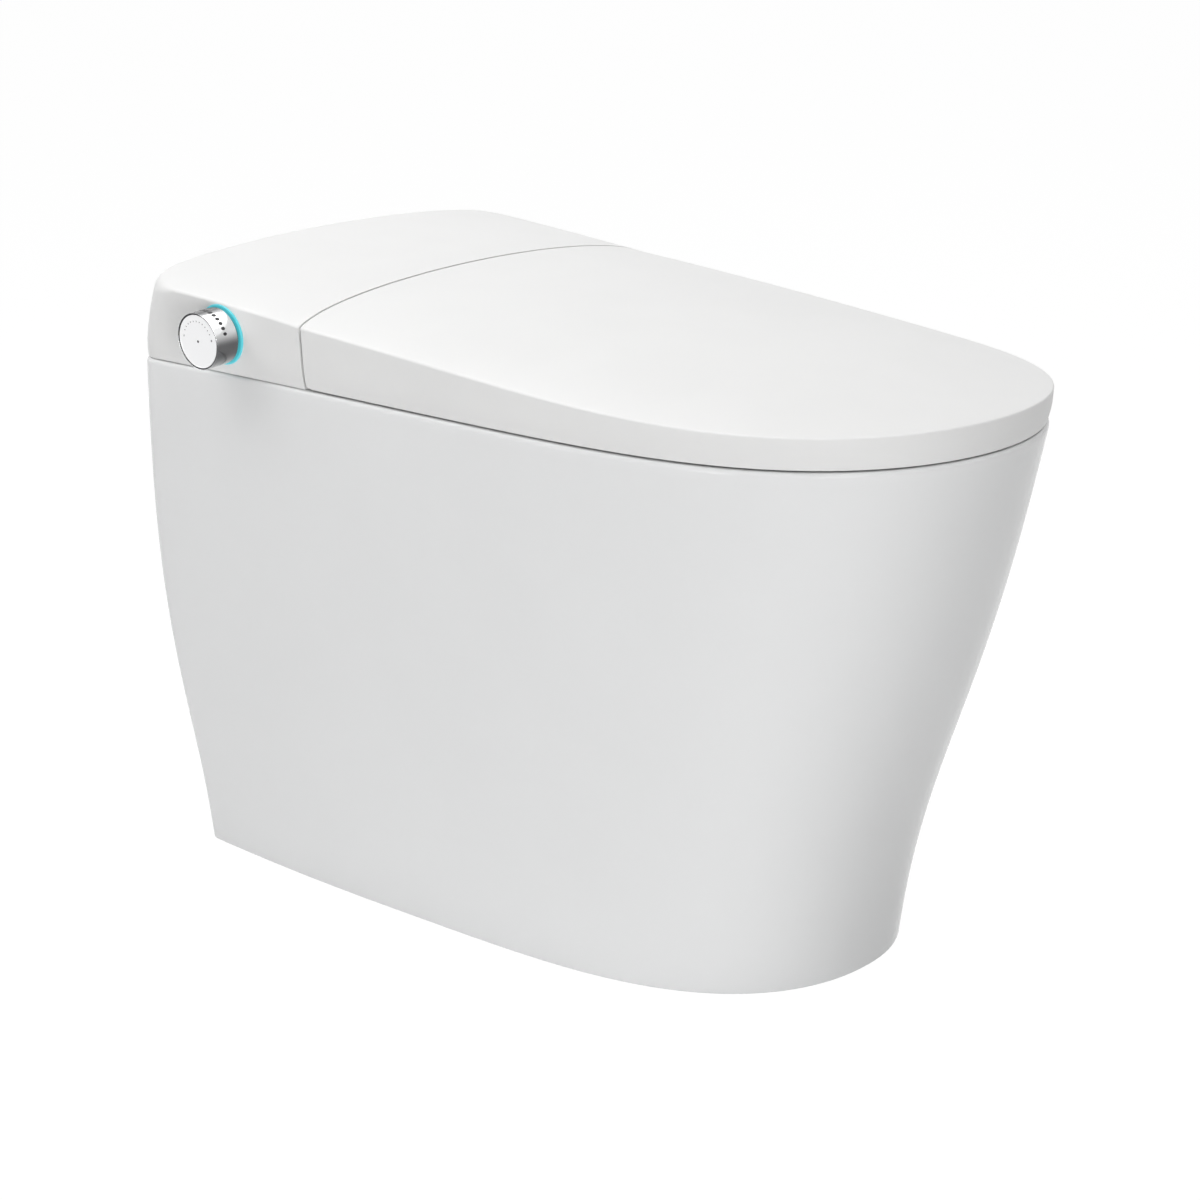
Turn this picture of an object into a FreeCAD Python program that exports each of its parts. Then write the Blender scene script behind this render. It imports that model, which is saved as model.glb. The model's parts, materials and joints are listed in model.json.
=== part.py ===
import FreeCAD, Part
import math
import os

# Overall sizes in millimetres. The origin is the centre of the floor outlet.
BACK = 290.0
RIM_REACH = 408.5
RIM_HEIGHT = 427.0
RIM_HALF = 197.0
BACK_BOW = 4.0
RIM_BEND = 90.0
BASE_REACH = 295.0
BASE_HALF = 154.0
BASE_BACK_TUCK = 11.0
BASE_BEND = 63.0
CORNER = 22.0
BASE_CORNER = 14.0
# Powers of the plan curves, and the shares that shape the skirt from floor to rim
RIM_SIDE_POWER = 2.0
RIM_FRONT_POWER = 5.1
BASE_SIDE_POWER = 2.16
BASE_FRONT_POWER = 4.1
LEVEL_SHARES = (0, 0.12, 0.28, 0.5, 0.75, 1)
WIDTH_SHARES = (0, 0.153, 0.424, 0.759, 0.952, 1)
REACH_SHARES = (0, 0.061, 0.196, 0.469, 0.762, 1)
RIM_ROUND = 4.5
PAN_WALL = 12.0
DECK = 14.0
# Crowned top of lid and rear cover
LID_GAP = 1.0
HEEL_GAP = 0.5
TIP_RISE = 26.0
CROWN_RISE = 54.6
CROWN_POWER = 1.54
CROWN_MARGIN = 8.0
CROWN_DROP = 30.5
BACK_FLAT_SHARE = 0.3
FLARE_DEG = 4.0
BACK_LEAN = 15.0
LEAN_SHARES = (0, 0.18, 1)
LEAN_LEVEL_SHARES = (0, 0.3, 1)
PRISM_TALL = 90.0
SEAM = 98.0
SEAM_GAP = 1.2
COVER_LIFT = 0.8
LID_WALL = 4.0
COVER_WALL = 3.2
LINER = 2.5
LINER_INSET = 26.0
LINER_REAR = 36.0
# Common hinge axis of lid and seat
PIVOT_AHEAD = 17.0
PIVOT_UNDER = 14.0
SWING_GAP = 0.9
PIN_R = 4.0
FIT = 0.06
LUG_R = 6.0
LUG_WIDE = 10.0
POST_WIDE = 13.0
HINGE_GAP = 2.0
DAMPER_HALF = 42.0
POST_DEEP = 11.0
POST_SET = 2.6
# Seat
SEAT_INSET = 11.0
SEAT_LIFT = 6.0
SEAT_BASE = 6.0
SEAT_CROWN = 8.0
SEAT_EDGE = 12.0
SEAT_MID_SHARE = 0.55
SEAT_MID_EDGE_SHARE = 0.18
SEAT_REAR = 58.0
SEAT_HOLE_HALF = 100.0
SEAT_HOLE_AHEAD = 76.5
SEAT_HOLE_REAR = -22.0
SEAT_HOLE_EDGE = 9.0
HOLE_MID_SHARE = 0.45
HOLE_MID_EDGE_SHARE = 0.15
HEATER_THICK = 0.8
HEATER_INSET = 20.0
EAR_FOOT = 28.0
BUMPER_R = 8.0
BUMPER_GAP = 0.2
SEAT_PAD_X_SHARE = 0.66
SEAT_PAD_Y_SHARES = (-0.62, 0.02)
LID_PAD_X_SHARE = 0.6
LID_PAD_Y_SHARES = (-0.64, -0.2)
# Bowl and trapway
OVAL_POWER = 2.25
BOWL_HALF = 128.0
BOWL_AHEAD = 56.5
BOWL_REAR = 24.0
SUMP_HEIGHT = 188.0
BOWL_WALL = 11.0
SUMP_Y = -88.0
BOWL_DEPTH_SHARES = (0, 0.2, 0.48, 0.76, 1)
BOWL_SIZE_SHARES = (1, 0.94, 0.77, 0.5, 0.28)
TRAP_R = 33.0
TRAP_BORE = 25.0
TRAP_START = -72.0
TRAP_RISE = 16.0
TRAP_UP_DEG = 42.0
TRAP_BACK_DEG = 125.0
WEIR_BEND = 52.0
FOOT_BEND = 55.0
TRAP_TURN = 64.0
OUTLET_R = 40.0
OUTLET_STEP = 22.0
SOCKET_R = 37.0
SOCKET_TALL = 44.0
SOCKET_WALL = 9.0
EAR_THICK = 10.0
EAR_REACH = 98.0
EAR_HALF = 22.0
BOLT_SPACING = 152.4
BOLT_HOLE = 4.6
# Rear module
WELL_HALF = 110.0
WELL_FRONT = 132.0
WELL_REAR = 250.0
CHASSIS = 4.0
CHASSIS_FRONT = 68.0
CHASSIS_REAR = 276.0
CHASSIS_INSET = 17.0
BOLT_INSET = 32.0
BOLT_FRONT = 118.0
BOLT_REAR = 267.0
BOLT_R = 4.0
BOLT_HEAD_R = 7.5
BOLT_HEAD = 5.0
BOLT_LONG = 26.0
FRONT_WALL = 9.0
# Wash wands
WAND_DEG = 22.0
WAND_R = 7.0
WAND_PITCH = 22.0
WAND_LONG = 142.0
WAND_Y = 63.0
WAND_DROP = 7.0
WAND_FIT = 0.3
HOUSE_HALF = 30.0
HOUSE_UP = 11.0
HOUSE_LONG = 128.0
CHANNEL_HALF = 27.0
CHANNEL_LONG = 62.0
CHANNEL_DOWN = 12.0
CHANNEL_UP = 44.0
CUT_TALL = 34.0
CUT_HALF = 34.0
MOTOR_WIDE = 18.0
MOTOR_DEEP = 20.0
MOTOR_TALL = 30.0
MOTOR_Y = 112.0
TIP_R = 1.2
REAR_SPRAY_SHARE = 1.4
FRONT_SPRAY_SHARE = 2.2
# Side dial
DIAL_Y = 186.0
DIAL_RISE = 31.8
DIAL_R = 22.5
DIAL_DEEP = 21.5
DIAL_RIM = 2.6
RING_R = 23.9
RING_OUT = 3.0
RING_IN = 7.0
RING_WIDE = 4.5
DIAL_LIFT = 0.5
DIAL_WEB = 3.0
STEM_R = 6.0
BOSS_R = 9.6
STEM_LONG = 40.0
FACE_THICK = 4.0
FACE_SINK = 0.4
FACE_FIT = 0.3
PRESS = 1.5
CODER_THICK = 22.0
CODER_HALF = 15.0
CODER_GAP = 0.3
# Blower, filter, heater, valves and boxes on the chassis
BLOW_X = -89.0
BLOW_Y = 168.0
BLOW_R = 40.0
BLOW_TALL = 38.0
BLOW_WALL = 2.5
WHEEL_R = 32.0
WHEEL_TALL = 22.0
WHEEL_LIFT = 7.0
WHEEL_GAP = 0.3
SPINDLE_R = 3.0
HUB_R = 7.0
BLADES = 20
BLADE_DEEP = 7.0
BLADE_INSET = 0.7
BLADE_THICK = 1.4
DISC = 2.0
DUCT_Y = 140.0
DUCT_DEEP = 24.0
DUCT_LOW = 8.0
DUCT_TALL = 18.0
DUCT_WALL = 2.0
HEAT_X = 52.0
HEAT_WIDE = 86.0
HEAT_Y = 128.0
HEAT_DEEP = 64.0
HEAT_TALL = 40.0
DIVERT_HALF = 18.0
DIVERT_Y = 198.0
DIVERT_DEEP = 32.0
DIVERT_TALL = 26.0
STEPPER_R = 12.0
STEPPER_TALL = 16.0
ODOUR_INSET = 23.0
ODOUR_WIDE = 76.0
ODOUR_Y = 196.0
ODOUR_DEEP = 60.0
ODOUR_TALL = 32.0
ODOUR_WHEEL_R = 20.0
ODOUR_AXIS_IN = 28.0
FILTER_WIDE = 20.0
BOX_INSET = 29.0
BOX_WIDE = 80.0
BOX_Y = 210.0
BOX_DEEP = 46.0
BOX_TALL = 24.0
BOX_WALL = 2.5
BOARD = 1.6
BOARD_GAP = 0.5
STANDOFF = 6.0
STANDOFF_R = 3.5
SUPPLY_HALF = 46.0
SUPPLY_Y = 232.0
SUPPLY_DEEP = 38.0
SUPPLY_TALL = 30.0
FLUSH_HALF = 50.0
FLUSH_Y = 152.0
FLUSH_DEEP = 64.0
FLUSH_DROP = 64.0
COIL_R = 14.0
COIL_LONG = 26.0
HOSE_R = 9.0
HOSE_DROP = 40.0
HOSE_GAP = 2.0
JET_R = 10.0
JET_RISE_SHARES = (0.822, 0.472, 0.192)
JET_X_SHARES = (2, 2.2, 1.8)
JET_ENTRY_SHARES = (-1, -0.3)
PANEL_HALF = 105.0
PANEL_DROP = 187.0
PANEL_TALL = 140.0
PANEL_DEEP = 16.0
PANEL_WALL = 4.0
PANEL_LIP = 8.0
INLET_X = 50.0
INLET_DROP = 117.0
INLET_R = 10.4
INLET_BORE = 6.2
INLET_LONG = 20.0
FLANGE_R = 15.0
FLANGE = 5.0
GLAND_X = -50.0
GLAND_R = 9.0
GLAND_BORE = 4.0
VALVE_HALF = 24.0
VALVE_DEEP = 44.0
FAR = 900.0

V = FreeCAD.Vector
UP = V(0, 0, 1)
ALONG = V(1, 0, 0)
REARWARD = V(0, 1, 0)
LID_LOW = RIM_HEIGHT + LID_GAP
COVER_LOW = RIM_HEIGHT + COVER_LIFT
FLARE = math.tan(math.radians(FLARE_DEG))
CROWN_HALF = RIM_HALF + CROWN_MARGIN
LENGTH = BACK + RIM_REACH
LID_REAR = SEAM - SEAM_GAP / 2
COVER_FRONT = SEAM + SEAM_GAP / 2
FLOOR = RIM_HEIGHT + CHASSIS
DECK_LOW = RIM_HEIGHT - DECK
CHASSIS_HALF = RIM_HALF - CHASSIS_INSET
BOLT_X = RIM_HALF - BOLT_INSET
BOWL_FRONT = BOWL_AHEAD - RIM_REACH
SEAT_HOLE_FRONT = SEAT_HOLE_AHEAD - RIM_REACH
BOWL_DEPTH = DECK_LOW - SUMP_HEIGHT
TRAP_LOW = SUMP_HEIGHT + TRAP_RISE
WAND_Z = RIM_HEIGHT - WAND_DROP
DIAL_Z = RIM_HEIGHT + DIAL_RISE
ODOUR_X = RIM_HALF - ODOUR_INSET - ODOUR_WIDE
BOX_X = BOX_INSET - RIM_HALF
HOSE_X = TRAP_R + HOSE_R + HOSE_GAP
INLET_Z = RIM_HEIGHT - INLET_DROP
PANEL_LOW = RIM_HEIGHT - PANEL_DROP


def crown(y):
    """Height of the crown's centre line: it climbs from the tip and levels out at the back."""
    left = max(0, (BACK - y) / LENGTH)
    return RIM_HEIGHT + TIP_RISE + CROWN_RISE * (1 - left ** CROWN_POWER)


def arch(y):
    """How far the crown falls to its sides: less and less towards the back."""
    return CROWN_DROP * (1 - BACK_FLAT_SHARE * max(0, (y - RIM_BEND) / (BACK - RIM_BEND)))


PIVOT_Y = LID_REAR - PIVOT_AHEAD
PIVOT_Z = crown(LID_REAR) - PIVOT_UNDER


def box(x, y, z, wide, deep, tall):
    return Part.makeBox(wide, deep, tall, V(x, y, z))


def rod(radius, length, at, axis):
    return Part.makeCylinder(radius, length, at, axis)


def tube(outer, inner, length, at, axis):
    return rod(outer, length, at, axis).cut(rod(inner, length, at, axis))


def fuse(shapes):
    whole = shapes[0]
    for other in shapes[1:]:
        whole = whole.fuse(other)
    return whole.removeSplitter()


def outline(level, half, back_half, bend, reach, side_power, front_power, corner, back, steps=8):
    """Plan curve: sides that bow a little to the back, a superellipse front, arcs and a flat back."""
    side = []
    for i in range(2):
        y = back - corner + (bend - back + corner) * i / 2
        x = half + (back_half - half) * ((y - bend) / (back - bend)) ** 2
        side.append((x, y))
    for i in range(steps):
        t = math.sin(math.pi * i / steps / 2)
        side.append((half * (1 - t ** front_power) ** (1 / side_power), bend - (reach + bend) * t))
    right = [V(x, y, level) for x, y in side]
    left = [V(-x, y, level) for x, y in reversed(side)]
    front = Part.BSplineCurve()
    front.interpolate(right + [V(0, -reach, level)] + left)
    edge_x = side[0][0]
    slant = corner * (1 - math.sqrt(0.5))
    left_mid = V(slant - edge_x, back - slant, level)
    right_mid = V(edge_x - slant, back - slant, level)
    left_in = V(corner - edge_x, back, level)
    right_in = V(edge_x - corner, back, level)
    edges = [front.toShape()]
    edges.append(Part.Arc(left[-1], left_mid, left_in).toShape())
    edges.append(Part.LineSegment(left_in, right_in).toShape())
    edges.append(Part.Arc(right_in, right_mid, right[0]).toShape())
    return Part.Wire(edges)


def rim_line(level, inset, back, corner):
    return outline(level, RIM_HALF - inset, RIM_HALF + BACK_BOW - inset, RIM_BEND, RIM_REACH - inset,
                   RIM_SIDE_POWER, RIM_FRONT_POWER, corner, back)


def skirt(inset):
    """Loft of the pan from the floor to the rim, moved in by a wall."""
    wires = []
    for share, wide, far in zip(LEVEL_SHARES, WIDTH_SHARES, REACH_SHARES):
        half = BASE_HALF + (RIM_HALF - BASE_HALF) * wide - inset
        bow = BACK_BOW * wide - BASE_BACK_TUCK * (1 - wide)
        bend = BASE_BEND + (RIM_BEND - BASE_BEND) * share
        reach = BASE_REACH + (RIM_REACH - BASE_REACH) * far - inset
        side_power = BASE_SIDE_POWER + (RIM_SIDE_POWER - BASE_SIDE_POWER) * share
        front_power = BASE_FRONT_POWER + (RIM_FRONT_POWER - BASE_FRONT_POWER) * share
        corner = BASE_CORNER + (CORNER - BASE_CORNER) * share
        wires.append(outline(RIM_HEIGHT * share, half, half + bow, bend, reach, side_power, front_power,
                             corner, BACK - inset))
    return Part.makeLoft(wires, True)


def prism(inset):
    """Flared block over the rim line that holds the lid and the rear cover."""
    wires = []
    for share, lean in zip(LEAN_LEVEL_SHARES, LEAN_SHARES):
        rise = PRISM_TALL * share
        out = FLARE * rise - inset
        wires.append(rim_line(COVER_LOW + rise, -out, BACK - inset - BACK_LEAN * lean, CORNER))
    return Part.makeLoft(wires, True)


def under_crown(drop):
    """Everything under the crowned top, moved down by drop."""
    wires = []
    low = DECK_LOW - CROWN_DROP
    stations = 8
    spots = 5
    for i in range(stations + 1):
        y = -RIM_REACH - CORNER + (LENGTH + CORNER * 2) * i / stations
        top = crown(y) - drop
        points = []
        for k in range(-spots, spots + 1):
            x = CROWN_HALF * math.sin(math.pi / 2 * k / spots)
            points.append(V(x, y, top - arch(y) * (1 - math.sqrt(max(0, 1 - (x / CROWN_HALF) ** 2)))))
        over = Part.BSplineCurve()
        over.interpolate(points)
        a = V(points[0].x, y, low)
        b = V(points[-1].x, y, low)
        edges = [over.toShape(), Part.LineSegment(points[-1], b).toShape()]
        edges += [Part.LineSegment(b, a).toShape(), Part.LineSegment(a, points[0]).toShape()]
        wires.append(Part.Wire(edges))
    return Part.makeLoft(wires, True)


def oval(level, half, front, rear, steps=16):
    """Closed egg curve between a front and a rear point."""
    points = []
    mid = (front + rear) / 2
    for i in range(steps):
        angle = 2 * math.pi * i / steps
        c = math.cos(angle)
        s = math.sin(angle)
        x = math.copysign(abs(c) ** (2 / OVAL_POWER), c) * half
        y = mid + math.copysign(abs(s) ** (2 / OVAL_POWER), s) * (rear - front) / 2
        points.append(V(x, y, level))
    curve = Part.BSplineCurve()
    curve.interpolate(points, PeriodicFlag=True)
    return Part.Wire([curve.toShape()])


def bowl(grow):
    wires = []
    for depth, size in zip(BOWL_DEPTH_SHARES, BOWL_SIZE_SHARES):
        front = SUMP_Y + (BOWL_FRONT - SUMP_Y) * size
        rear = SUMP_Y + (BOWL_REAR - SUMP_Y) * size
        wires.append(oval(DECK_LOW - (BOWL_DEPTH + grow) * depth, BOWL_HALF * size + grow, front - grow,
                          rear + grow))
    return Part.makeLoft(wires, True)


def slab(wire, tall):
    return Part.Face(wire).extrude(V(0, 0, tall))


def front_of(y):
    return box(-FAR, -FAR, 0, FAR * 2, FAR + y, FAR)


def behind(y):
    return box(-FAR, y, 0, FAR * 2, FAR, FAR)


def sweep(points, radius, start, end):
    """Round bar along a smooth line with given end directions."""
    line = Part.BSplineCurve()
    line.interpolate(points, InitialTangent=start, FinalTangent=end)
    path = Part.Wire([line.toShape()])
    ring = Part.Wire([Part.makeCircle(radius, points[0], start)])
    return path.makePipeShell([ring], True, True)


def hollow(x, y, z, wide, deep, tall, wall):
    inside = box(x + wall, y + wall, z + wall, wide - wall * 2, deep - wall * 2, tall - wall * 2)
    return box(x, y, z, wide, deep, tall).cut(inside)


# Pan: skirt with deck, bowl, trapway
opening = oval(DECK_LOW, BOWL_HALF, BOWL_FRONT, BOWL_REAR)
outer = skirt(0)
top_edges = []
for edge in outer.Edges:
    if abs(edge.BoundBox.ZMin - RIM_HEIGHT) < FIT and abs(edge.BoundBox.ZMax - RIM_HEIGHT) < FIT:
        top_edges.append(edge)
outer = outer.makeFillet(RIM_ROUND, top_edges)
cavity = skirt(PAN_WALL).common(box(-FAR, -FAR, 0, FAR * 2, FAR * 2, DECK_LOW))
pan_shell = outer.cut(cavity).cut(slab(opening, DECK))
well = box(-WELL_HALF, WELL_FRONT, DECK_LOW, WELL_HALF * 2, WELL_REAR - WELL_FRONT, DECK)
window_deep = PAN_WALL
window_half = PANEL_HALF - PANEL_LIP
window = box(-window_half, BACK - window_deep, PANEL_LOW + PANEL_LIP, window_half * 2, window_deep,
             PANEL_TALL - PANEL_LIP * 2)
pan_shell = pan_shell.cut(well).cut(window)
wand_axis = V(0, -math.cos(math.radians(WAND_DEG)), -math.sin(math.radians(WAND_DEG)))
wand_back = wand_axis.negative()
wand_tip = V(0, WAND_Y, WAND_Z)


def tilted(half, start, length, down, up, x=0):
    """Block laid along the wand axis; start is counted forward from the tip."""
    block = box(-half, -start, -down, half * 2, length, down + up)
    block.rotate(V(0, 0, 0), ALONG, WAND_DEG)
    block.translate(wand_tip + V(x, 0, 0))
    return block


channel = tilted(CHANNEL_HALF, CHANNEL_LONG, CHANNEL_LONG + HOUSE_LONG, CHANNEL_DOWN, CHANNEL_UP)
house_block = tilted(HOUSE_HALF, 0, HOUSE_LONG, HOUSE_UP, HOUSE_UP)
house_room = tilted(HOUSE_HALF + HINGE_GAP, 0, HOUSE_LONG + HINGE_GAP, HOUSE_UP + HINGE_GAP, CHANNEL_UP)
pan_shell = pan_shell.cut(channel).cut(house_room)
bolt_spots = [(sx * BOLT_X, y) for sx in (-1, 1) for y in (BOLT_FRONT, BOLT_REAR)]
for x, y in bolt_spots:
    pan_shell = pan_shell.cut(rod(BOLT_R, DECK, V(x, y, DECK_LOW), UP))

up_angle = math.radians(TRAP_UP_DEG)
fall_angle = -math.radians(TRAP_BACK_DEG)
# Two straight runs close the path: their lengths come from the place of the outlet
over_y = WEIR_BEND * (math.sin(up_angle) - math.sin(fall_angle))
over_z = WEIR_BEND * (math.cos(fall_angle) - math.cos(up_angle))
foot_y = FOOT_BEND * (-math.sin(fall_angle) - 1)
foot_z = FOOT_BEND * math.cos(fall_angle)
need_y = -TRAP_START - over_y - foot_y
need_z = TRAP_TURN - TRAP_LOW - over_z - foot_z
det = math.sin(fall_angle - up_angle)
rise_run = (need_y * math.sin(fall_angle) - need_z * math.cos(fall_angle)) / det
fall_run = (need_z * math.cos(up_angle) - need_y * math.sin(up_angle)) / det


def heading(angle):
    return V(0, math.cos(angle), math.sin(angle))


def trap_bar_of(radius):
    """Rising run, bend over the weir, falling run, foot bend and drop, all of one radius."""
    at = V(0, TRAP_START, TRAP_LOW)
    rise = rod(radius, rise_run, at, heading(up_angle))
    at = at + heading(up_angle) * rise_run
    middle = at + heading(up_angle - math.pi / 2) * WEIR_BEND
    disc = Part.Face(Part.Wire([Part.makeCircle(radius, at, heading(up_angle))]))
    weir = disc.revolve(middle, ALONG, math.degrees(fall_angle - up_angle))
    at = middle + heading(fall_angle + math.pi / 2) * WEIR_BEND
    fall = rod(radius, fall_run, at, heading(fall_angle))
    at = at + heading(fall_angle) * fall_run
    middle = at + heading(fall_angle + math.pi / 2) * FOOT_BEND
    disc = Part.Face(Part.Wire([Part.makeCircle(radius, at, heading(fall_angle))]))
    foot = disc.revolve(middle, ALONG, -90 - math.degrees(fall_angle))
    drop = rod(radius, TRAP_TURN - OUTLET_STEP, V(0, 0, OUTLET_STEP), UP)
    return fuse([rise, weir, fall, foot, drop])


trap_bar = trap_bar_of(TRAP_R)
trap_hole = trap_bar_of(TRAP_BORE)
bowl_in = bowl(0)
bowl_out = bowl(BOWL_WALL)
pan_trapway = trap_bar.cut(trap_hole).cut(bowl_in)
pan_trapway = max(pan_trapway.Solids, key=lambda s: s.Volume)
pan_bowl = bowl_out.cut(bowl_in).cut(trap_bar).cut(channel)
pan_bowl = max(pan_bowl.Solids, key=lambda s: s.Volume)

# Floor socket with the two closet bolt holes
socket_r = SOCKET_R + SOCKET_WALL
outlet_adaptor = fuse([rod(socket_r, SOCKET_TALL, V(0, 0, 0), UP),
                       box(-EAR_REACH, -EAR_HALF, 0, EAR_REACH * 2, EAR_HALF * 2, EAR_THICK)])
outlet_adaptor = outlet_adaptor.cut(rod(OUTLET_R, OUTLET_STEP, V(0, 0, 0), UP))
outlet_adaptor = outlet_adaptor.cut(rod(SOCKET_R, SOCKET_TALL, V(0, 0, 0), UP))
for x in (-BOLT_SPACING / 2, BOLT_SPACING / 2):
    outlet_adaptor = outlet_adaptor.cut(rod(BOLT_HOLE, EAR_THICK, V(x, 0, 0), UP))
outlet_gasket = tube(SOCKET_R, TRAP_R, SOCKET_TALL - OUTLET_STEP, V(0, 0, OUTLET_STEP), UP)

# Lid
body = prism(0)
crowned = body.common(under_crown(0))
lid_block = crowned.common(front_of(LID_REAR)).common(box(-FAR, -FAR, LID_LOW, FAR * 2, FAR * 2, FAR))
lid_hollow = prism(LID_WALL).common(under_crown(LID_WALL))
lid_shell = lid_block.cut(lid_hollow)
pivot = V(0, PIVOT_Y, PIVOT_Z)
lug_x = DAMPER_HALF + HINGE_GAP
post_x = lug_x + LUG_WIDE + HINGE_GAP
ear_x = post_x + POST_WIDE + HINGE_GAP


def at_x(x):
    return V(x, PIVOT_Y, PIVOT_Z)


for sign in (-1, 1):
    start = lug_x if sign > 0 else -lug_x - LUG_WIDE
    lug = rod(LUG_R, LUG_WIDE, at_x(start), ALONG)
    web = box(start, PIVOT_Y - LUG_R, PIVOT_Z, LUG_WIDE, LUG_R * 2, PIVOT_UNDER * 2).common(crowned)
    lid_shell = lid_shell.fuse(lug).fuse(web)
pin_run = (ear_x + LUG_WIDE) - lug_x
for start in (lug_x, -lug_x - LUG_WIDE):
    lid_shell = lid_shell.cut(rod(PIN_R + FIT, LUG_WIDE, at_x(start), ALONG))
heel_room = box(-FAR, PIVOT_Y, LID_LOW, FAR * 2, PIVOT_AHEAD, PIVOT_Z - LID_LOW)
heel_room = heel_room.cut(rod(PIVOT_Z - RIM_HEIGHT - HEEL_GAP, FAR * 2, at_x(-FAR), ALONG))
lid_shell = lid_shell.cut(heel_room).removeSplitter()
liner_plan = slab(rim_line(LID_LOW, LINER_INSET, BACK, CORNER), FAR).common(front_of(LINER_REAR))
lid_liner = liner_plan.common(under_crown(LID_WALL)).cut(under_crown(LID_WALL + LINER))

# Seat ring on the same axis
seat_low = RIM_HEIGHT + SEAT_LIFT
seat_mid = seat_low + SEAT_BASE
seat_high = seat_mid + SEAT_CROWN
seat_plan = slab(rim_line(seat_low, SEAT_INSET, BACK, CORNER), SEAT_BASE).common(front_of(SEAT_REAR))
hole = slab(oval(seat_low, SEAT_HOLE_HALF, SEAT_HOLE_FRONT, SEAT_HOLE_REAR), SEAT_BASE)
seat_base = seat_plan.cut(hole)
heat_hole = slab(oval(seat_mid - HEATER_THICK, SEAT_HOLE_HALF + HEATER_INSET, SEAT_HOLE_FRONT - HEATER_INSET,
                      SEAT_HOLE_REAR + HEATER_INSET), HEATER_THICK)
heat_plan = slab(rim_line(seat_mid - HEATER_THICK, SEAT_INSET + HEATER_INSET, BACK, CORNER), HEATER_THICK)
seat_heater = heat_plan.common(front_of(SEAT_REAR - HEATER_INSET)).cut(heat_hole)
seat_base = seat_base.cut(seat_heater)
crown_low = rim_line(seat_mid, SEAT_INSET, BACK, CORNER)
crown_mid = rim_line(seat_mid + SEAT_CROWN * SEAT_MID_SHARE, SEAT_INSET + SEAT_EDGE * SEAT_MID_EDGE_SHARE,
                     BACK, CORNER)
crown_top = rim_line(seat_high, SEAT_INSET + SEAT_EDGE, BACK, CORNER)
seat_block = Part.makeLoft([crown_low, crown_mid, crown_top], True).common(front_of(SEAT_REAR))
hole_low = oval(seat_mid, SEAT_HOLE_HALF, SEAT_HOLE_FRONT, SEAT_HOLE_REAR)
hole_grow = SEAT_HOLE_EDGE * HOLE_MID_EDGE_SHARE
hole_mid = oval(seat_mid + SEAT_CROWN * HOLE_MID_SHARE, SEAT_HOLE_HALF + hole_grow,
                SEAT_HOLE_FRONT - hole_grow, SEAT_HOLE_REAR + hole_grow)
hole_top = oval(seat_high, SEAT_HOLE_HALF + SEAT_HOLE_EDGE, SEAT_HOLE_FRONT - SEAT_HOLE_EDGE,
                SEAT_HOLE_REAR + SEAT_HOLE_EDGE)
seat_top = seat_block.cut(Part.makeLoft([hole_low, hole_mid, hole_top], True))
for sign in (-1, 1):
    start = ear_x if sign > 0 else -ear_x - LUG_WIDE
    foot = SEAT_REAR - EAR_FOOT
    points = [V(start, foot, seat_mid), V(start, SEAT_REAR, seat_mid), V(start, PIVOT_Y + LUG_R, PIVOT_Z),
              V(start, PIVOT_Y - LUG_R, PIVOT_Z)]
    plate = Part.Face(Part.makePolygon(points + [points[0]])).extrude(V(LUG_WIDE, 0, 0))
    seat_top = seat_top.fuse(plate).fuse(rod(LUG_R, LUG_WIDE, at_x(start), ALONG))
    seat_top = seat_top.cut(rod(PIN_R + FIT, LUG_WIDE, at_x(start), ALONG))
seat_top = seat_top.removeSplitter()
pad_x = RIM_HALF * SEAT_PAD_X_SHARE
pad_spots = [(x, y * RIM_REACH) for x in (-pad_x, pad_x) for y in SEAT_PAD_Y_SHARES]
pad_low = RIM_HEIGHT + BUMPER_GAP
seat_bumpers = fuse([rod(BUMPER_R, SEAT_LIFT - BUMPER_GAP, V(x, y, pad_low), UP) for x, y in pad_spots])
stop_x = RIM_HALF * LID_PAD_X_SHARE
stop_spots = [(x, y * RIM_REACH) for x in (-stop_x, stop_x) for y in LID_PAD_Y_SHARES]
under_liner = under_crown(LID_WALL + LINER)
lid_bumpers = fuse([rod(BUMPER_R, PRISM_TALL, V(x, y, seat_high + BUMPER_GAP), UP).common(under_liner)
                    for x, y in stop_spots])

# Hinge bracket, pins and damper
bracket_parts = []
post_y = PIVOT_Y - POST_DEEP / 2 - POST_SET
for sign in (-1, 1):
    start = post_x if sign > 0 else -post_x - POST_WIDE
    bracket_parts.append(box(start, post_y, FLOOR, POST_WIDE, POST_DEEP, PIVOT_Z - FLOOR))
    bracket_parts.append(rod(POST_DEEP / 2, POST_WIDE, at_x(start), ALONG))
    foot_x = start if sign > 0 else start - POST_WIDE
    bracket_parts.append(box(foot_x, post_y, FLOOR, POST_WIDE * 2, POST_DEEP, CHASSIS))
for start in (-DAMPER_HALF, DAMPER_HALF - LUG_WIDE):
    bracket_parts.append(box(start, post_y, FLOOR, LUG_WIDE, POST_DEEP, PIVOT_Z - FLOOR))
hinge_damper = rod(LUG_R, DAMPER_HALF * 2, at_x(-DAMPER_HALF), ALONG)
hinge_bracket = fuse(bracket_parts).cut(hinge_damper)
pins = []
for sign in (-1, 1):
    start = lug_x if sign > 0 else -lug_x - pin_run
    pins.append(rod(PIN_R, pin_run, at_x(start), ALONG))
hinge_pins = fuse(pins)
hinge_bracket = hinge_bracket.cut(hinge_pins)

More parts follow.
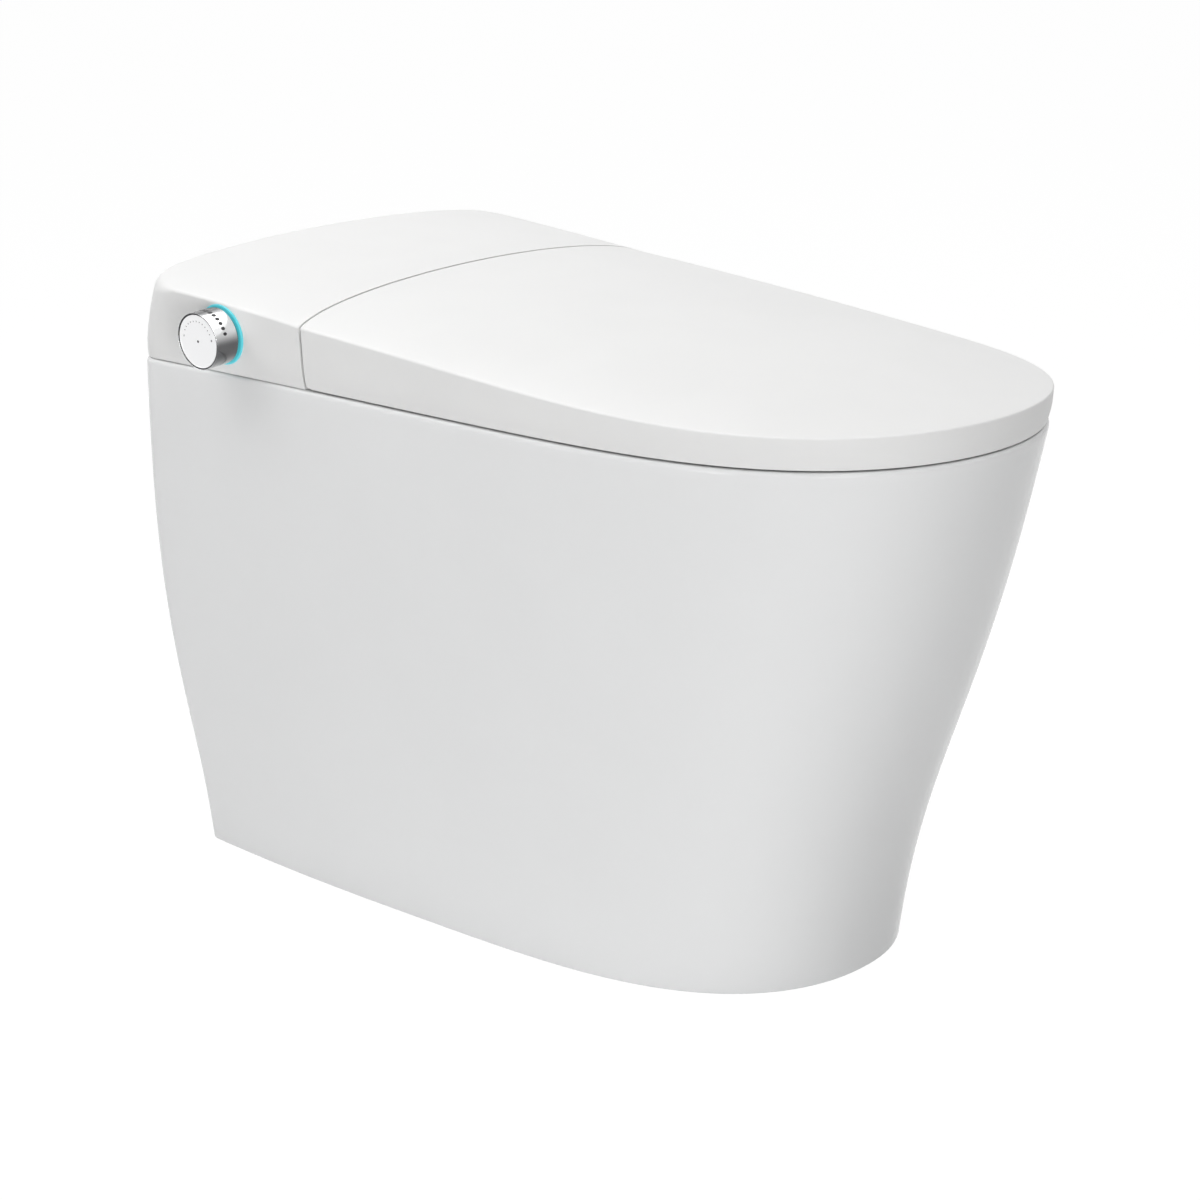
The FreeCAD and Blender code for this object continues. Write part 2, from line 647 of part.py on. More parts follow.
# Rear cover with an undercut lip that the lid's edge swings past
seam_drop = arch(LID_REAR)
swing_half = CROWN_HALF * math.sqrt(1 - (1 - PIVOT_UNDER / seam_drop) ** 2)
swing_line = []
swing_steps = 8
for i in range(swing_steps + 1):
    x = swing_half * (2 * i / swing_steps - 1)
    over = max(0, PIVOT_UNDER - seam_drop * (1 - math.sqrt(1 - (x / CROWN_HALF) ** 2)))
    radius = math.sqrt(PIVOT_AHEAD ** 2 + over ** 2) + SWING_GAP
    swing_line.append(V(x, PIVOT_Y, PIVOT_Z + radius))
swing_curve = Part.BSplineCurve()
swing_curve.interpolate(swing_line)
swing_edges = [swing_curve.toShape(), Part.LineSegment(swing_line[-1], at_x(swing_half)).toShape(),
               Part.LineSegment(at_x(swing_half), at_x(-swing_half)).toShape(),
               Part.LineSegment(at_x(-swing_half), swing_line[0]).toShape()]
swing_room = Part.Face(Part.Wire(swing_edges)).revolve(pivot, ALONG, 360)
cover_block = crowned.common(behind(COVER_FRONT)).common(box(-FAR, -FAR, COVER_LOW, FAR * 2, FAR * 2, FAR))
cover_block = cover_block.cut(swing_room)
cover_hollow = prism(COVER_WALL).common(under_crown(COVER_WALL)).common(behind(COVER_FRONT + FRONT_WALL))
rear_cover = cover_block.cut(cover_hollow)
wand_cut = box(-CUT_HALF, COVER_FRONT, COVER_LOW, CUT_HALF * 2, FRONT_WALL, CUT_TALL)
rear_cover = rear_cover.cut(wand_cut)
ledge = box(-CHASSIS_HALF, COVER_FRONT, COVER_LOW, CHASSIS_HALF * 2, CHASSIS_REAR - COVER_FRONT,
            FLOOR - COVER_LOW)
rear_cover = rear_cover.cut(ledge)

# Side dial: axis square to the flared wall
bow = BACK_BOW * ((DIAL_Y - RIM_BEND) / (BACK - RIM_BEND)) ** 2
dial_at = V(-(RIM_HALF + bow + FLARE * (DIAL_Z - COVER_LOW)), DIAL_Y, DIAL_Z)
dial_out = V(-math.cos(math.radians(FLARE_DEG)), 0, -math.sin(math.radians(FLARE_DEG)))


def dial(offset):
    return dial_at + dial_out * offset


light_ring = tube(RING_R, RING_R - RING_WIDE, RING_IN + RING_OUT, dial(-RING_IN), dial_out)
rear_cover = rear_cover.cut(rod(RING_R, RING_IN + RING_OUT, dial(-RING_IN), dial_out))
dial_base = RING_OUT + DIAL_LIFT
dial_ring = rod(DIAL_R, DIAL_DEEP, dial(dial_base), dial_out)
pocket = FACE_THICK + FACE_SINK + PRESS + FACE_FIT
dial_ring = dial_ring.cut(rod(DIAL_R - DIAL_RIM, pocket, dial(dial_base + DIAL_DEEP - pocket), dial_out))
dial_ring = dial_ring.cut(tube(DIAL_R - DIAL_RIM, BOSS_R, DIAL_DEEP - pocket - DIAL_WEB,
                               dial(dial_base), dial_out))
dial_ring = dial_ring.cut(rod(STEM_R, DIAL_DEEP - pocket - DIAL_WEB, dial(dial_base), dial_out))
stem_end = dial_base + DIAL_DEEP - pocket - DIAL_WEB
dial_shaft = rod(STEM_R, STEM_LONG, dial(stem_end - STEM_LONG), dial_out)
face_at = dial_base + DIAL_DEEP - FACE_SINK - FACE_THICK
dial_face = rod(DIAL_R - DIAL_RIM - FACE_FIT, FACE_THICK, dial(face_at), dial_out)
coder_x = dial(-RING_IN).x + CODER_GAP
dial_encoder = box(coder_x, DIAL_Y - CODER_HALF, FLOOR, CODER_THICK, CODER_HALF * 2,
                   DIAL_Z - FLOOR + CODER_HALF)
dial_encoder = dial_encoder.cut(rod(STEM_R + FIT, STEM_LONG * 2, dial(-STEM_LONG), dial_out))
dial_encoder = dial_encoder.cut(rod(RING_R + CODER_GAP, RING_IN, dial(-RING_IN), dial_out))

# Chassis and its bolts
chassis = box(-CHASSIS_HALF, CHASSIS_FRONT, RIM_HEIGHT, CHASSIS_HALF * 2, CHASSIS_REAR - CHASSIS_FRONT,
              CHASSIS)
chassis = chassis.cut(house_block)
chassis_bolts = []
for x, y in bolt_spots:
    chassis = chassis.cut(rod(BOLT_R, CHASSIS, V(x, y, RIM_HEIGHT), UP))
    chassis_bolts.append(rod(BOLT_R, BOLT_LONG, V(x, y, FLOOR - BOLT_LONG), UP))
    chassis_bolts.append(rod(BOLT_HEAD_R, BOLT_HEAD, V(x, y, FLOOR), UP))
chassis_bolts = fuse(chassis_bolts)

# Wands in their housing
nozzle_housing = house_block
wands = []
for sign, spray_share in ((-1, REAR_SPRAY_SHARE), (1, FRONT_SPRAY_SHARE)):
    end = wand_tip + V(sign * WAND_PITCH / 2, 0, 0)
    nozzle_housing = nozzle_housing.cut(rod(WAND_R + WAND_FIT, HOUSE_LONG, end, wand_back))
    tip = Part.makeSphere(WAND_R, end + wand_back * WAND_R)
    bar = fuse([rod(WAND_R, WAND_LONG - WAND_R * 2, end + wand_back * WAND_R, wand_back), tip])
    spray = rod(TIP_R, WAND_R * 2, end + wand_back * WAND_R * spray_share, UP)
    wands.append(bar.cut(spray))
wand_rear, wand_front = wands
motor_parts = []
for sign in (-1, 1):
    start = HOUSE_HALF if sign > 0 else -HOUSE_HALF - MOTOR_WIDE
    motor_parts.append(box(start, MOTOR_Y, FLOOR, MOTOR_WIDE, MOTOR_DEEP, MOTOR_TALL))
wand_motors = fuse(motor_parts)

# Blower, duct, heater, diverter, deodoriser
floor_at = V(BLOW_X, BLOW_Y, FLOOR)
dryer_case = rod(BLOW_R, BLOW_TALL, floor_at, UP)
inner_r = BLOW_R - BLOW_WALL
dryer_case = dryer_case.cut(rod(inner_r, BLOW_TALL - BLOW_WALL * 2, floor_at + UP * BLOW_WALL, UP))
dryer_case = dryer_case.cut(rod(WHEEL_R / 2, BLOW_WALL, floor_at + UP * (BLOW_TALL - BLOW_WALL), UP))
dryer_case = dryer_case.fuse(rod(SPINDLE_R, BLOW_TALL - BLOW_WALL * 3, floor_at, UP))
dryer_case = dryer_case.fuse(rod(HUB_R, WHEEL_LIFT - WHEEL_GAP, floor_at, UP)).removeSplitter()


def wheel(radius, tall, at):
    """Blower wheel: hub, disc and a ring of straight blades."""
    parts = [rod(HUB_R, tall, at, UP), rod(radius, DISC, at, UP)]
    for i in range(BLADES):
        blade = box(radius - BLADE_DEEP, -BLADE_THICK / 2, 0, BLADE_DEEP - BLADE_INSET, BLADE_THICK, tall)
        blade.rotate(V(0, 0, 0), UP, 360 * i / BLADES)
        blade.translate(at)
        parts.append(blade)
    return fuse(parts).cut(rod(SPINDLE_R + FIT, tall, at, UP))


dryer_wheel = wheel(WHEEL_R, WHEEL_TALL, floor_at + UP * WHEEL_LIFT)
duct_x = BLOW_X
duct_block = box(duct_x, DUCT_Y, FLOOR + DUCT_LOW, -HOUSE_HALF - duct_x, DUCT_DEEP, DUCT_TALL)
duct_void = box(duct_x, DUCT_Y + DUCT_WALL, FLOOR + DUCT_LOW + DUCT_WALL, -HOUSE_HALF - duct_x,
                DUCT_DEEP - DUCT_WALL * 2, DUCT_TALL - DUCT_WALL * 2)
blow_bar = rod(BLOW_R, BLOW_TALL, floor_at, UP)
dryer_duct = duct_block.cut(duct_void).cut(blow_bar)
dryer_case = dryer_case.cut(duct_void.cut(rod(inner_r - BLOW_WALL, BLOW_TALL, floor_at, UP)))
water_heater = box(HEAT_X, HEAT_Y, FLOOR, HEAT_WIDE, HEAT_DEEP, HEAT_TALL)
divert_mid = V(0, DIVERT_Y + DIVERT_DEEP / 2, FLOOR + DIVERT_TALL)
diverter = fuse([box(-DIVERT_HALF, DIVERT_Y, FLOOR, DIVERT_HALF * 2, DIVERT_DEEP, DIVERT_TALL),
                 rod(STEPPER_R, STEPPER_TALL, divert_mid, UP)])
odour_case = hollow(ODOUR_X, ODOUR_Y, FLOOR, ODOUR_WIDE, ODOUR_DEEP, ODOUR_TALL, BOX_WALL)
odour_at = V(ODOUR_X + ODOUR_AXIS_IN, ODOUR_Y + ODOUR_DEEP / 2, FLOOR)
odour_case = odour_case.cut(rod(ODOUR_WHEEL_R / 2, BOX_WALL, odour_at + UP * (ODOUR_TALL - BOX_WALL), UP))
odour_case = odour_case.fuse(rod(SPINDLE_R, ODOUR_TALL - BOX_WALL * 3, odour_at, UP))
odour_case = odour_case.fuse(rod(HUB_R, WHEEL_LIFT - WHEEL_GAP, odour_at, UP)).removeSplitter()
odour_wheel = wheel(ODOUR_WHEEL_R, ODOUR_TALL - WHEEL_LIFT - BOX_WALL * 2 - DISC, odour_at + UP * WHEEL_LIFT)
filter_x = ODOUR_X + ODOUR_WIDE - BOX_WALL - FILTER_WIDE
odour_filter = box(filter_x, ODOUR_Y + BOX_WALL, FLOOR + BOX_WALL, FILTER_WIDE, ODOUR_DEEP - BOX_WALL * 2,
                   ODOUR_TALL - BOX_WALL * 2)

# Electrics
control_box = hollow(BOX_X, BOX_Y, FLOOR, BOX_WIDE, BOX_DEEP, BOX_TALL, BOX_WALL)
board_in = STANDOFF
posts = []
for sx in (board_in, BOX_WIDE - board_in):
    for sy in (board_in, BOX_DEEP - board_in):
        posts.append(rod(STANDOFF_R, STANDOFF, V(BOX_X + sx, BOX_Y + sy, FLOOR), UP))
control_box = fuse([control_box] + posts)
board_edge = BOX_WALL + BOARD_GAP
control_board = box(BOX_X + board_edge, BOX_Y + board_edge, FLOOR + STANDOFF, BOX_WIDE - board_edge * 2,
                    BOX_DEEP - board_edge * 2, BOARD)
power_supply = box(-SUPPLY_HALF, SUPPLY_Y, FLOOR, SUPPLY_HALF * 2, SUPPLY_DEEP, SUPPLY_TALL)

# Supply and flush
panel_y = BACK - PAN_WALL - PANEL_DEEP
service_panel = box(-PANEL_HALF, panel_y, PANEL_LOW, PANEL_HALF * 2, PANEL_DEEP, PANEL_TALL)
recess = box(-window_half, panel_y + PANEL_WALL, PANEL_LOW + PANEL_LIP, window_half * 2, PANEL_DEEP,
             PANEL_TALL - PANEL_LIP * 2)
service_panel = service_panel.cut(recess)
port_y = panel_y + PANEL_WALL
inlet_at = V(INLET_X, port_y, INLET_Z)
inlet_port = fuse([rod(INLET_R, INLET_LONG, inlet_at, REARWARD), rod(FLANGE_R, FLANGE, inlet_at, REARWARD)])
inlet_port = inlet_port.cut(rod(INLET_BORE, INLET_LONG, inlet_at, REARWARD))
gland_at = V(GLAND_X, port_y, INLET_Z)
cord_gland = fuse([rod(GLAND_R, INLET_LONG, gland_at, REARWARD), rod(FLANGE_R, FLANGE, gland_at, REARWARD)])
cord_gland = cord_gland.cut(rod(GLAND_BORE, INLET_LONG, gland_at, REARWARD))
valve_y = panel_y - VALVE_DEEP
inlet_valve = box(INLET_X - VALVE_HALF, valve_y, INLET_Z - VALVE_HALF, VALVE_HALF * 2, VALVE_DEEP,
                  VALVE_HALF * 2)
coil_at = V(INLET_X + VALVE_HALF, valve_y + VALVE_DEEP / 2, INLET_Z)
inlet_valve = fuse([inlet_valve, rod(COIL_R, COIL_LONG, coil_at, ALONG)])
flush_low = RIM_HEIGHT - FLUSH_DROP
flush_valve = box(-FLUSH_HALF, FLUSH_Y, flush_low, FLUSH_HALF * 2, FLUSH_DEEP, FLUSH_DROP)
feed_top = RIM_HEIGHT - HOSE_DROP
rim_hose = rod(HOSE_R, FLUSH_Y - BOWL_REAR, V(-HOSE_X, BOWL_REAR, feed_top), REARWARD).cut(bowl_out)
rim_hose = max(rim_hose.Solids, key=lambda s: s.Volume)
feed_at = V(INLET_X - VALVE_HALF / 2, valve_y + HOSE_R + BOX_WALL, INLET_Z + VALVE_HALF)
supply_hose = rod(HOSE_R, flush_low - feed_at.z, feed_at, UP)
jet_start = V(FLUSH_HALF, FLUSH_Y + FLUSH_DEEP / 2, feed_top)
jet_path = [jet_start]
for x_share, y, rise in zip(JET_X_SHARES, (FLUSH_Y, BASE_BEND, TRAP_START / 2), JET_RISE_SHARES):
    jet_path.append(V(FLUSH_HALF * x_share, y, TRAP_LOW + (feed_top - TRAP_LOW) * rise))
jet_path.append(V(0, SUMP_Y, TRAP_LOW))
jet_entry = V(JET_ENTRY_SHARES[0], JET_ENTRY_SHARES[1], 0)
jet_hose = sweep(jet_path, JET_R, ALONG, jet_entry).cut(bowl_out)
jet_hose = max(jet_hose.Solids, key=lambda s: s.Volume)

os.makedirs("parts", exist_ok=True)
nodes = {
    "pan_shell": pan_shell, "pan_bowl": pan_bowl, "pan_trapway": pan_trapway,
    "outlet_adaptor": outlet_adaptor, "outlet_gasket": outlet_gasket,
    "chassis": chassis, "chassis_bolts": chassis_bolts, "rear_cover": rear_cover,
    "service_panel": service_panel, "lid_shell": lid_shell, "lid_liner": lid_liner,
    "lid_bumpers": lid_bumpers, "seat_top": seat_top, "seat_base": seat_base, "seat_heater": seat_heater,
    "seat_bumpers": seat_bumpers, "hinge_bracket": hinge_bracket, "hinge_pins": hinge_pins,
    "hinge_damper": hinge_damper, "light_ring": light_ring, "dial_ring": dial_ring, "dial_face": dial_face,
    "dial_shaft": dial_shaft, "dial_encoder": dial_encoder, "nozzle_housing": nozzle_housing,
    "wand_rear": wand_rear, "wand_front": wand_front, "wand_motors": wand_motors,
    "dryer_case": dryer_case, "dryer_wheel": dryer_wheel, "dryer_duct": dryer_duct,
    "water_heater": water_heater, "diverter": diverter, "odour_case": odour_case, "odour_wheel": odour_wheel,
    "odour_filter": odour_filter, "control_box": control_box, "control_board": control_board,
    "power_supply": power_supply, "inlet_port": inlet_port, "cord_gland": cord_gland,
    "inlet_valve": inlet_valve, "flush_valve": flush_valve, "supply_hose": supply_hose,
    "rim_hose": rim_hose, "jet_hose": jet_hose,
}
for name, shape in nodes.items():
    shape.exportStep("parts/" + name + ".step")
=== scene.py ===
# %% [markdown]
# A skirted one-piece smart toilet: a glazed pan that runs down to the floor, a crowned lid over the
# heated seat, a rear cover that hides the works, and a chrome dial with a lit ring on its side.
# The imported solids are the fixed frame. What shows most is made again here as smooth surfaces, and the
# other solids keep their shape and get a finish.

# %% Load the frame
import json
import math

import bmesh
import bpy
import numpy as np
from mathutils import Matrix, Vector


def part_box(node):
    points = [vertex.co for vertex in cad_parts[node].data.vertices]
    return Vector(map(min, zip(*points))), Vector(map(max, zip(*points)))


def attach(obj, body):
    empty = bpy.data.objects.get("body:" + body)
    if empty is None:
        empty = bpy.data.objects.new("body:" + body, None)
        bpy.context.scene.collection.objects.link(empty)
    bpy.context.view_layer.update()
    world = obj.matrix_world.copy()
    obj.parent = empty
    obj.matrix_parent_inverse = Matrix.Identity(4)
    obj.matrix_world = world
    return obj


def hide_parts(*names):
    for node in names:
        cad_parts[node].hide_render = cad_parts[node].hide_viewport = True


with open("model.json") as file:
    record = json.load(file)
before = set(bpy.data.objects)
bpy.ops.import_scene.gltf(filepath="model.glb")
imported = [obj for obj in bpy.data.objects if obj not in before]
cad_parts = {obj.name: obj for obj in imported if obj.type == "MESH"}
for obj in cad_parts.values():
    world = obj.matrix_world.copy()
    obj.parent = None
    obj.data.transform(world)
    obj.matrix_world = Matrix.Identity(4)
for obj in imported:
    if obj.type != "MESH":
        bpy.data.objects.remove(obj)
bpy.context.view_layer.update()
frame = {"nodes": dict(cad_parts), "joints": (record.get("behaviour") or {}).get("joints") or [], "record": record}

nodes = frame["nodes"]

# %% [markdown]
# The camera comes first, because every later choice is judged through it. It stands in front and to
# the left of the toilet, a little above it, with a long lens, so the sides hardly taper.
# Its place is worked out from the viewing angles, the distance and how far the object's origin lies
# from the middle of the picture.

# %% Camera
AZIMUTH = math.radians(-48.654)
ELEVATION = math.radians(17.016)
DISTANCE = 2.541637
ORIGIN_RIGHT = -0.020965
ORIGIN_UP = -0.225126
SENSOR = 36.0
FOCAL_PIXELS = 3076.157
PICTURE_PIXELS = 1200.0

right = np.array([math.cos(AZIMUTH), math.sin(AZIMUTH), 0])
ahead = np.array([-math.sin(AZIMUTH) * math.cos(ELEVATION), math.cos(AZIMUTH) * math.cos(ELEVATION),
                  -math.sin(ELEVATION)])
upward = np.cross(right, ahead)
lens = bpy.data.cameras.new("camera")
lens.sensor_width = SENSOR
lens.lens = SENSOR * FOCAL_PIXELS / PICTURE_PIXELS
lens.clip_start, lens.clip_end = 0.05, 50
camera = bpy.data.objects.new("camera", lens)
bpy.context.scene.collection.objects.link(camera)
turn = np.eye(4)
turn[:3, 0], turn[:3, 1], turn[:3, 2] = right, upward, -ahead
turn[:3, 3] = -ORIGIN_RIGHT * right - ORIGIN_UP * upward - DISTANCE * ahead
camera.matrix_world = Matrix(turn.tolist())
bpy.context.scene.camera = camera
print("camera at", turn[:3, 3].round(3), "lens", round(lens.lens, 2))

# %% [markdown]
# Shader sums are easier to read as Python sums, so a socket is wrapped in a small class whose
# operators each add one Math node. One method adds any other node, to a material or to the world: its
# settings are set first, then the values or links of its sockets. A finish is a material that starts
# with a Principled shader.

# %% Shader helpers
class Wire:
    """One output socket of a node tree, usable in sums."""

    def __init__(self, graph, socket):
        self.graph = graph
        self.socket = socket

    def sum(self, operation, *terms):
        return self.graph.node("ShaderNodeMath", {"operation": operation}, dict(enumerate(terms)))

    def __add__(self, other):
        return self.sum("ADD", self, other)

    def __sub__(self, other):
        return self.sum("SUBTRACT", self, other)

    def __rsub__(self, other):
        return self.sum("SUBTRACT", other, self)

    def __mul__(self, other):
        return self.sum("MULTIPLY", self, other)

    def __gt__(self, other):
        return self.sum("GREATER_THAN", self, other)

    __radd__ = __add__
    __rmul__ = __mul__

    def wave(self):
        return self.sum("SINE", self)

    def between(self, low, high):
        """0 below low, 1 above high, and a smooth step between them."""
        settings = {"interpolation_type": "SMOOTHSTEP"}
        return self.graph.node("ShaderNodeMapRange", settings, {0: self, 1: low, 2: high})


class Graph:
    """A node tree, with one way to add a node and one way to feed its sockets."""

    def __init__(self, tree):
        self.tree = tree

    def node(self, kind, settings=None, values=None, out=0):
        made = self.tree.nodes.new(kind)
        for key, value in (settings or {}).items():
            setattr(made, key, value)
        self.feed(made, values or {})
        return Wire(self, made.outputs[out])

    def feed(self, made, values):
        for key, value in values.items():
            if isinstance(value, Wire):
                self.tree.links.new(value.socket, made.inputs[key])
            else:
                made.inputs[key].default_value = value

    def plain_view(self):
        """1 for rays from the camera, off a mirror or through glass, and 0 for light that bounces on."""
        path = self.node("ShaderNodeLightPath").socket.node.outputs
        seen = Wire(self, path["Is Camera Ray"])
        for ray in ("Is Glossy Ray", "Is Transmission Ray"):
            seen = seen.sum("MAXIMUM", seen, Wire(self, path[ray]))
        return seen


class Finish(Graph):
    """A material with a Principled shader."""

    def __init__(self, name):
        self.material = bpy.data.materials.new(name)
        self.material.use_nodes = True
        super().__init__(self.material.node_tree)
        self.shader = self.tree.nodes["Principled BSDF"]

    def set(self, **values):
        self.feed(self.shader, {key.replace("_", " "): value for key, value in values.items()})

    def place(self):
        return self.node("ShaderNodeTexCoord", out="Object")

    def axes(self):
        spread = self.node("ShaderNodeSeparateXYZ", None, {0: self.place()}).socket.node
        return [Wire(self, socket) for socket in spread.outputs]

    def noise(self, scale, detail=2.0, rough=0.5):
        values = {"Vector": self.place(), "Scale": scale, "Detail": detail, "Roughness": rough}
        return self.node("ShaderNodeTexNoise", None, values)

    def blend(self, mask, first, second):
        values = {0: mask, 6: (*first, 1), 7: (*second, 1)}
        return self.node("ShaderNodeMix", {"data_type": "RGBA"}, values, out=2)

    def bump(self, height, strength, depth):
        values = {"Height": height, "Strength": strength, "Distance": depth}
        return self.node("ShaderNodeBump", None, values)


def tint(colour, share):
    """A colour moved towards black by a share."""
    return tuple(channel * (1 - share) for channel in colour)


# %% [markdown]
# Glazed china is white clay under a clear glaze. The glaze is smooth but never quite flat: it pools in
# a slow orange-peel wave, and the white drifts a little where it lies thicker. A thin clear coat over a
# softer base gives the gloss on top of the milky white.

# %% China
CHINA_WHITE, GLAZE_DRIFT = (0.862, 0.867, 0.869), 0.012
GLAZE_SHEEN, GLAZE_COAT, PEEL_DEPTH = 0.11, 0.08, 0.0006
CLOUD = (0.3, 0.7)


def glazed_china(name):
    finish = Finish(name)
    pooled = finish.noise(scale=7.0, detail=3.0)
    peel = finish.noise(scale=160.0, detail=1.0)
    drift = finish.blend(pooled.between(*CLOUD), CHINA_WHITE, tint(CHINA_WHITE, GLAZE_DRIFT))
    finish.set(Base_Color=drift, Specular_IOR_Level=GLAZE_SHEEN)
    finish.set(Roughness=0.16 + 0.05 * pooled, Coat_Weight=GLAZE_COAT, Coat_Roughness=0.05)
    finish.set(Normal=finish.bump(peel, strength=0.05, depth=PEEL_DEPTH))
    return finish.material


# %% [markdown]
# The lid and the rear cover are one moulded white plastic with a satin skin. Moulding leaves a very
# fine spark grain, seen only as a softened highlight, and a faint cloud in the gloss. The plastics of
# the works are made the same way, in other colours.

# %% Moulded plastics
SHELL_WHITE, MOULD_DRIFT, MOULD_SHEEN = (0.865, 0.865, 0.86), 0.015, 0.15
SPARK_GRAIN, SPARK_DEPTH = 1400.0, 0.00005


def moulded(name, colour, gloss):
    finish = Finish(name)
    cloud = finish.noise(scale=11.0)
    spark = finish.noise(scale=SPARK_GRAIN, rough=0.6)
    finish.set(Base_Color=finish.blend(cloud.between(*CLOUD), colour, tint(colour, MOULD_DRIFT)))
    finish.set(Roughness=gloss + 0.05 * cloud + 0.04 * spark, Specular_IOR_Level=MOULD_SHEEN)
    finish.set(Normal=finish.bump(spark, strength=0.12, depth=SPARK_DEPTH))
    return finish.material


# %% [markdown]
# Rubber stops, hoses and seals are matt and a little rough, and pale dust settles on them in patches.
# So the bump is a fine, hard noise, and a slower noise lightens the colour where the dust lies.

# %% Rubber
DUST, DUST_SHARE, RUBBER_DEPTH = (0.45, 0.75), -0.12, 0.0002


def rubber(name, colour):
    finish = Finish(name)
    grain = finish.noise(scale=900.0, detail=4.0, rough=0.7)
    dust = finish.noise(scale=60.0, detail=3.0)
    finish.set(Base_Color=finish.blend(dust.between(*DUST), colour, tint(colour, DUST_SHARE)))
    finish.set(Roughness=0.62 + 0.2 * grain, Normal=finish.bump(grain, strength=0.3, depth=RUBBER_DEPTH))
    return finish.material


# %% [markdown]
# The pins and bolts are drawn steel bar, whose die leaves fine lines along it: noise that is squeezed
# across the bar. The inlet and its valve are turned brass, with a fine feed mark from the lathe along
# their axis and brown tarnish in patches.

# %% Steel and brass
STEEL_GREY, STEEL_DARKER, LINE_SCALE = (0.62, 0.62, 0.63), 0.18, (60, 2600, 2600)
BRASS_BRIGHT, BRASS_DULL, TARNISH, FEED_MARKS = (0.72, 0.56, 0.27), (0.46, 0.33, 0.15), (0.4, 0.75), 9000.0


def drawn_steel(name, gloss):
    finish = Finish(name)
    stretched = finish.node("ShaderNodeMapping", None, {"Vector": finish.place(), "Scale": LINE_SCALE})
    lines = finish.node("ShaderNodeTexNoise", None, {"Vector": stretched, "Scale": 1.0, "Detail": 3.0})
    finish.set(Base_Color=finish.blend(lines, STEEL_GREY, tint(STEEL_GREY, STEEL_DARKER)), Metallic=1.0)
    finish.set(Roughness=gloss + 0.14 * lines, Normal=finish.bump(lines, strength=0.1, depth=0.00004))
    return finish.material


def machined_brass(name):
    finish = Finish(name)
    tarnish = finish.noise(scale=90.0, detail=4.0)
    feed = (finish.axes()[1] * FEED_MARKS).wave()
    finish.set(Base_Color=finish.blend(tarnish.between(*TARNISH), BRASS_BRIGHT, BRASS_DULL), Metallic=1.0)
    finish.set(Roughness=0.24 + 0.16 * tarnish, Normal=finish.bump(feed, strength=0.12, depth=0.00005))
    return finish.material


# %% [markdown]
# Three finishes belong to the works alone. The circuit board is green solder mask with straight tracks
# and square pads on a pitch. The odour filter is folded carbon, so its bump is a wave with grit on it.
# The seat's heater is a thin foil that creases into cells as it is pressed on, and painted shade darkens its
# creases.

# %% Board, carbon and foil
MASK_GREEN, TRACK_GOLD = (0.02, 0.16, 0.06), (0.55, 0.42, 0.16)
TRACK_PITCH, TRACK_EDGE, PAD_PITCH, PAD_EDGE = 1300.0, 0.86, 620.0, 0.8
CARBON_DARK, CARBON_GREY = (0.012, 0.012, 0.013), (0.07, 0.07, 0.075)
PLEAT_PITCH, PLEAT_DEPTH = 1700.0, 0.0012
FOIL_PAINTED_CREASE_SHADE, FOIL_BRIGHT, FOIL_CELLS = (0.55, 0.56, 0.58), (0.75, 0.75, 0.76), 160.0


def circuit_board(name):
    finish = Finish(name)
    x, y = finish.axes()[:2]
    tracks = (x * TRACK_PITCH).wave() > TRACK_EDGE
    pads = ((x * PAD_PITCH).wave() * (y * PAD_PITCH).wave()) > PAD_EDGE
    marks = tracks * 0.45 + pads
    finish.set(Base_Color=finish.blend(marks.between(0, 1), MASK_GREEN, TRACK_GOLD))
    finish.set(Roughness=0.45 - 0.15 * pads, Metallic=0.7 * pads)
    return finish.material


def pleated_carbon(name):
    finish = Finish(name)
    pleat = (finish.axes()[1] * PLEAT_PITCH).wave()
    grit = finish.noise(scale=1800.0, detail=3.0)
    finish.set(Base_Color=finish.blend(grit, CARBON_DARK, CARBON_GREY), Roughness=0.85)
    finish.set(Normal=finish.bump(pleat + 0.3 * grit, strength=0.6, depth=PLEAT_DEPTH))
    return finish.material


def crinkled_foil(name):
    finish = Finish(name)
    crease = finish.node("ShaderNodeTexVoronoi", {"feature": "DISTANCE_TO_EDGE"},
                         {"Vector": finish.place(), "Scale": FOIL_CELLS})
    # painted shade: the colour is darker along the creases
    finish.set(Base_Color=finish.blend(crease.between(0, 0.3), FOIL_PAINTED_CREASE_SHADE, FOIL_BRIGHT), Metallic=1.0)
    finish.set(Roughness=0.3 + 0.2 * crease, Normal=finish.bump(crease, strength=0.5, depth=0.0004))
    return finish.material


# %% [markdown]
# The dial's ring is polished chrome. A mirror in a white room turns white all over, so the soft dark
# and bright bands of a chromed ring's reflection are painted into its base colour: a painted reflection
# whose bands run along the ring's depth and change only round its axis, whose angle is counted from
# the front upwards.

# %% Dial chrome
dial_joint = next(joint for joint in frame["joints"] if joint["name"] == "dial_turn")
DIAL_AT = np.array(dial_joint["pos_m"])
DIAL_OUT = np.array(dial_joint["axis"]) / np.linalg.norm(dial_joint["axis"])
CHROME_BRIGHT, PAINTED_REFLECTION_DARK = (0.90, 0.905, 0.91), (0.05, 0.05, 0.055)
# angles where the painted reflection's bands lie, and how dark they are painted
TOP_PAINTED_BAND, FOOT_PAINTED_BAND, DEEP_PAINTED_BAND = (1.08, 1.45), (-0.15, 0.42), (-1.15, -0.45)
PAINTED_BANDS_SHARE, DEEP_PAINTED_SHARE = 0.84, 0.45


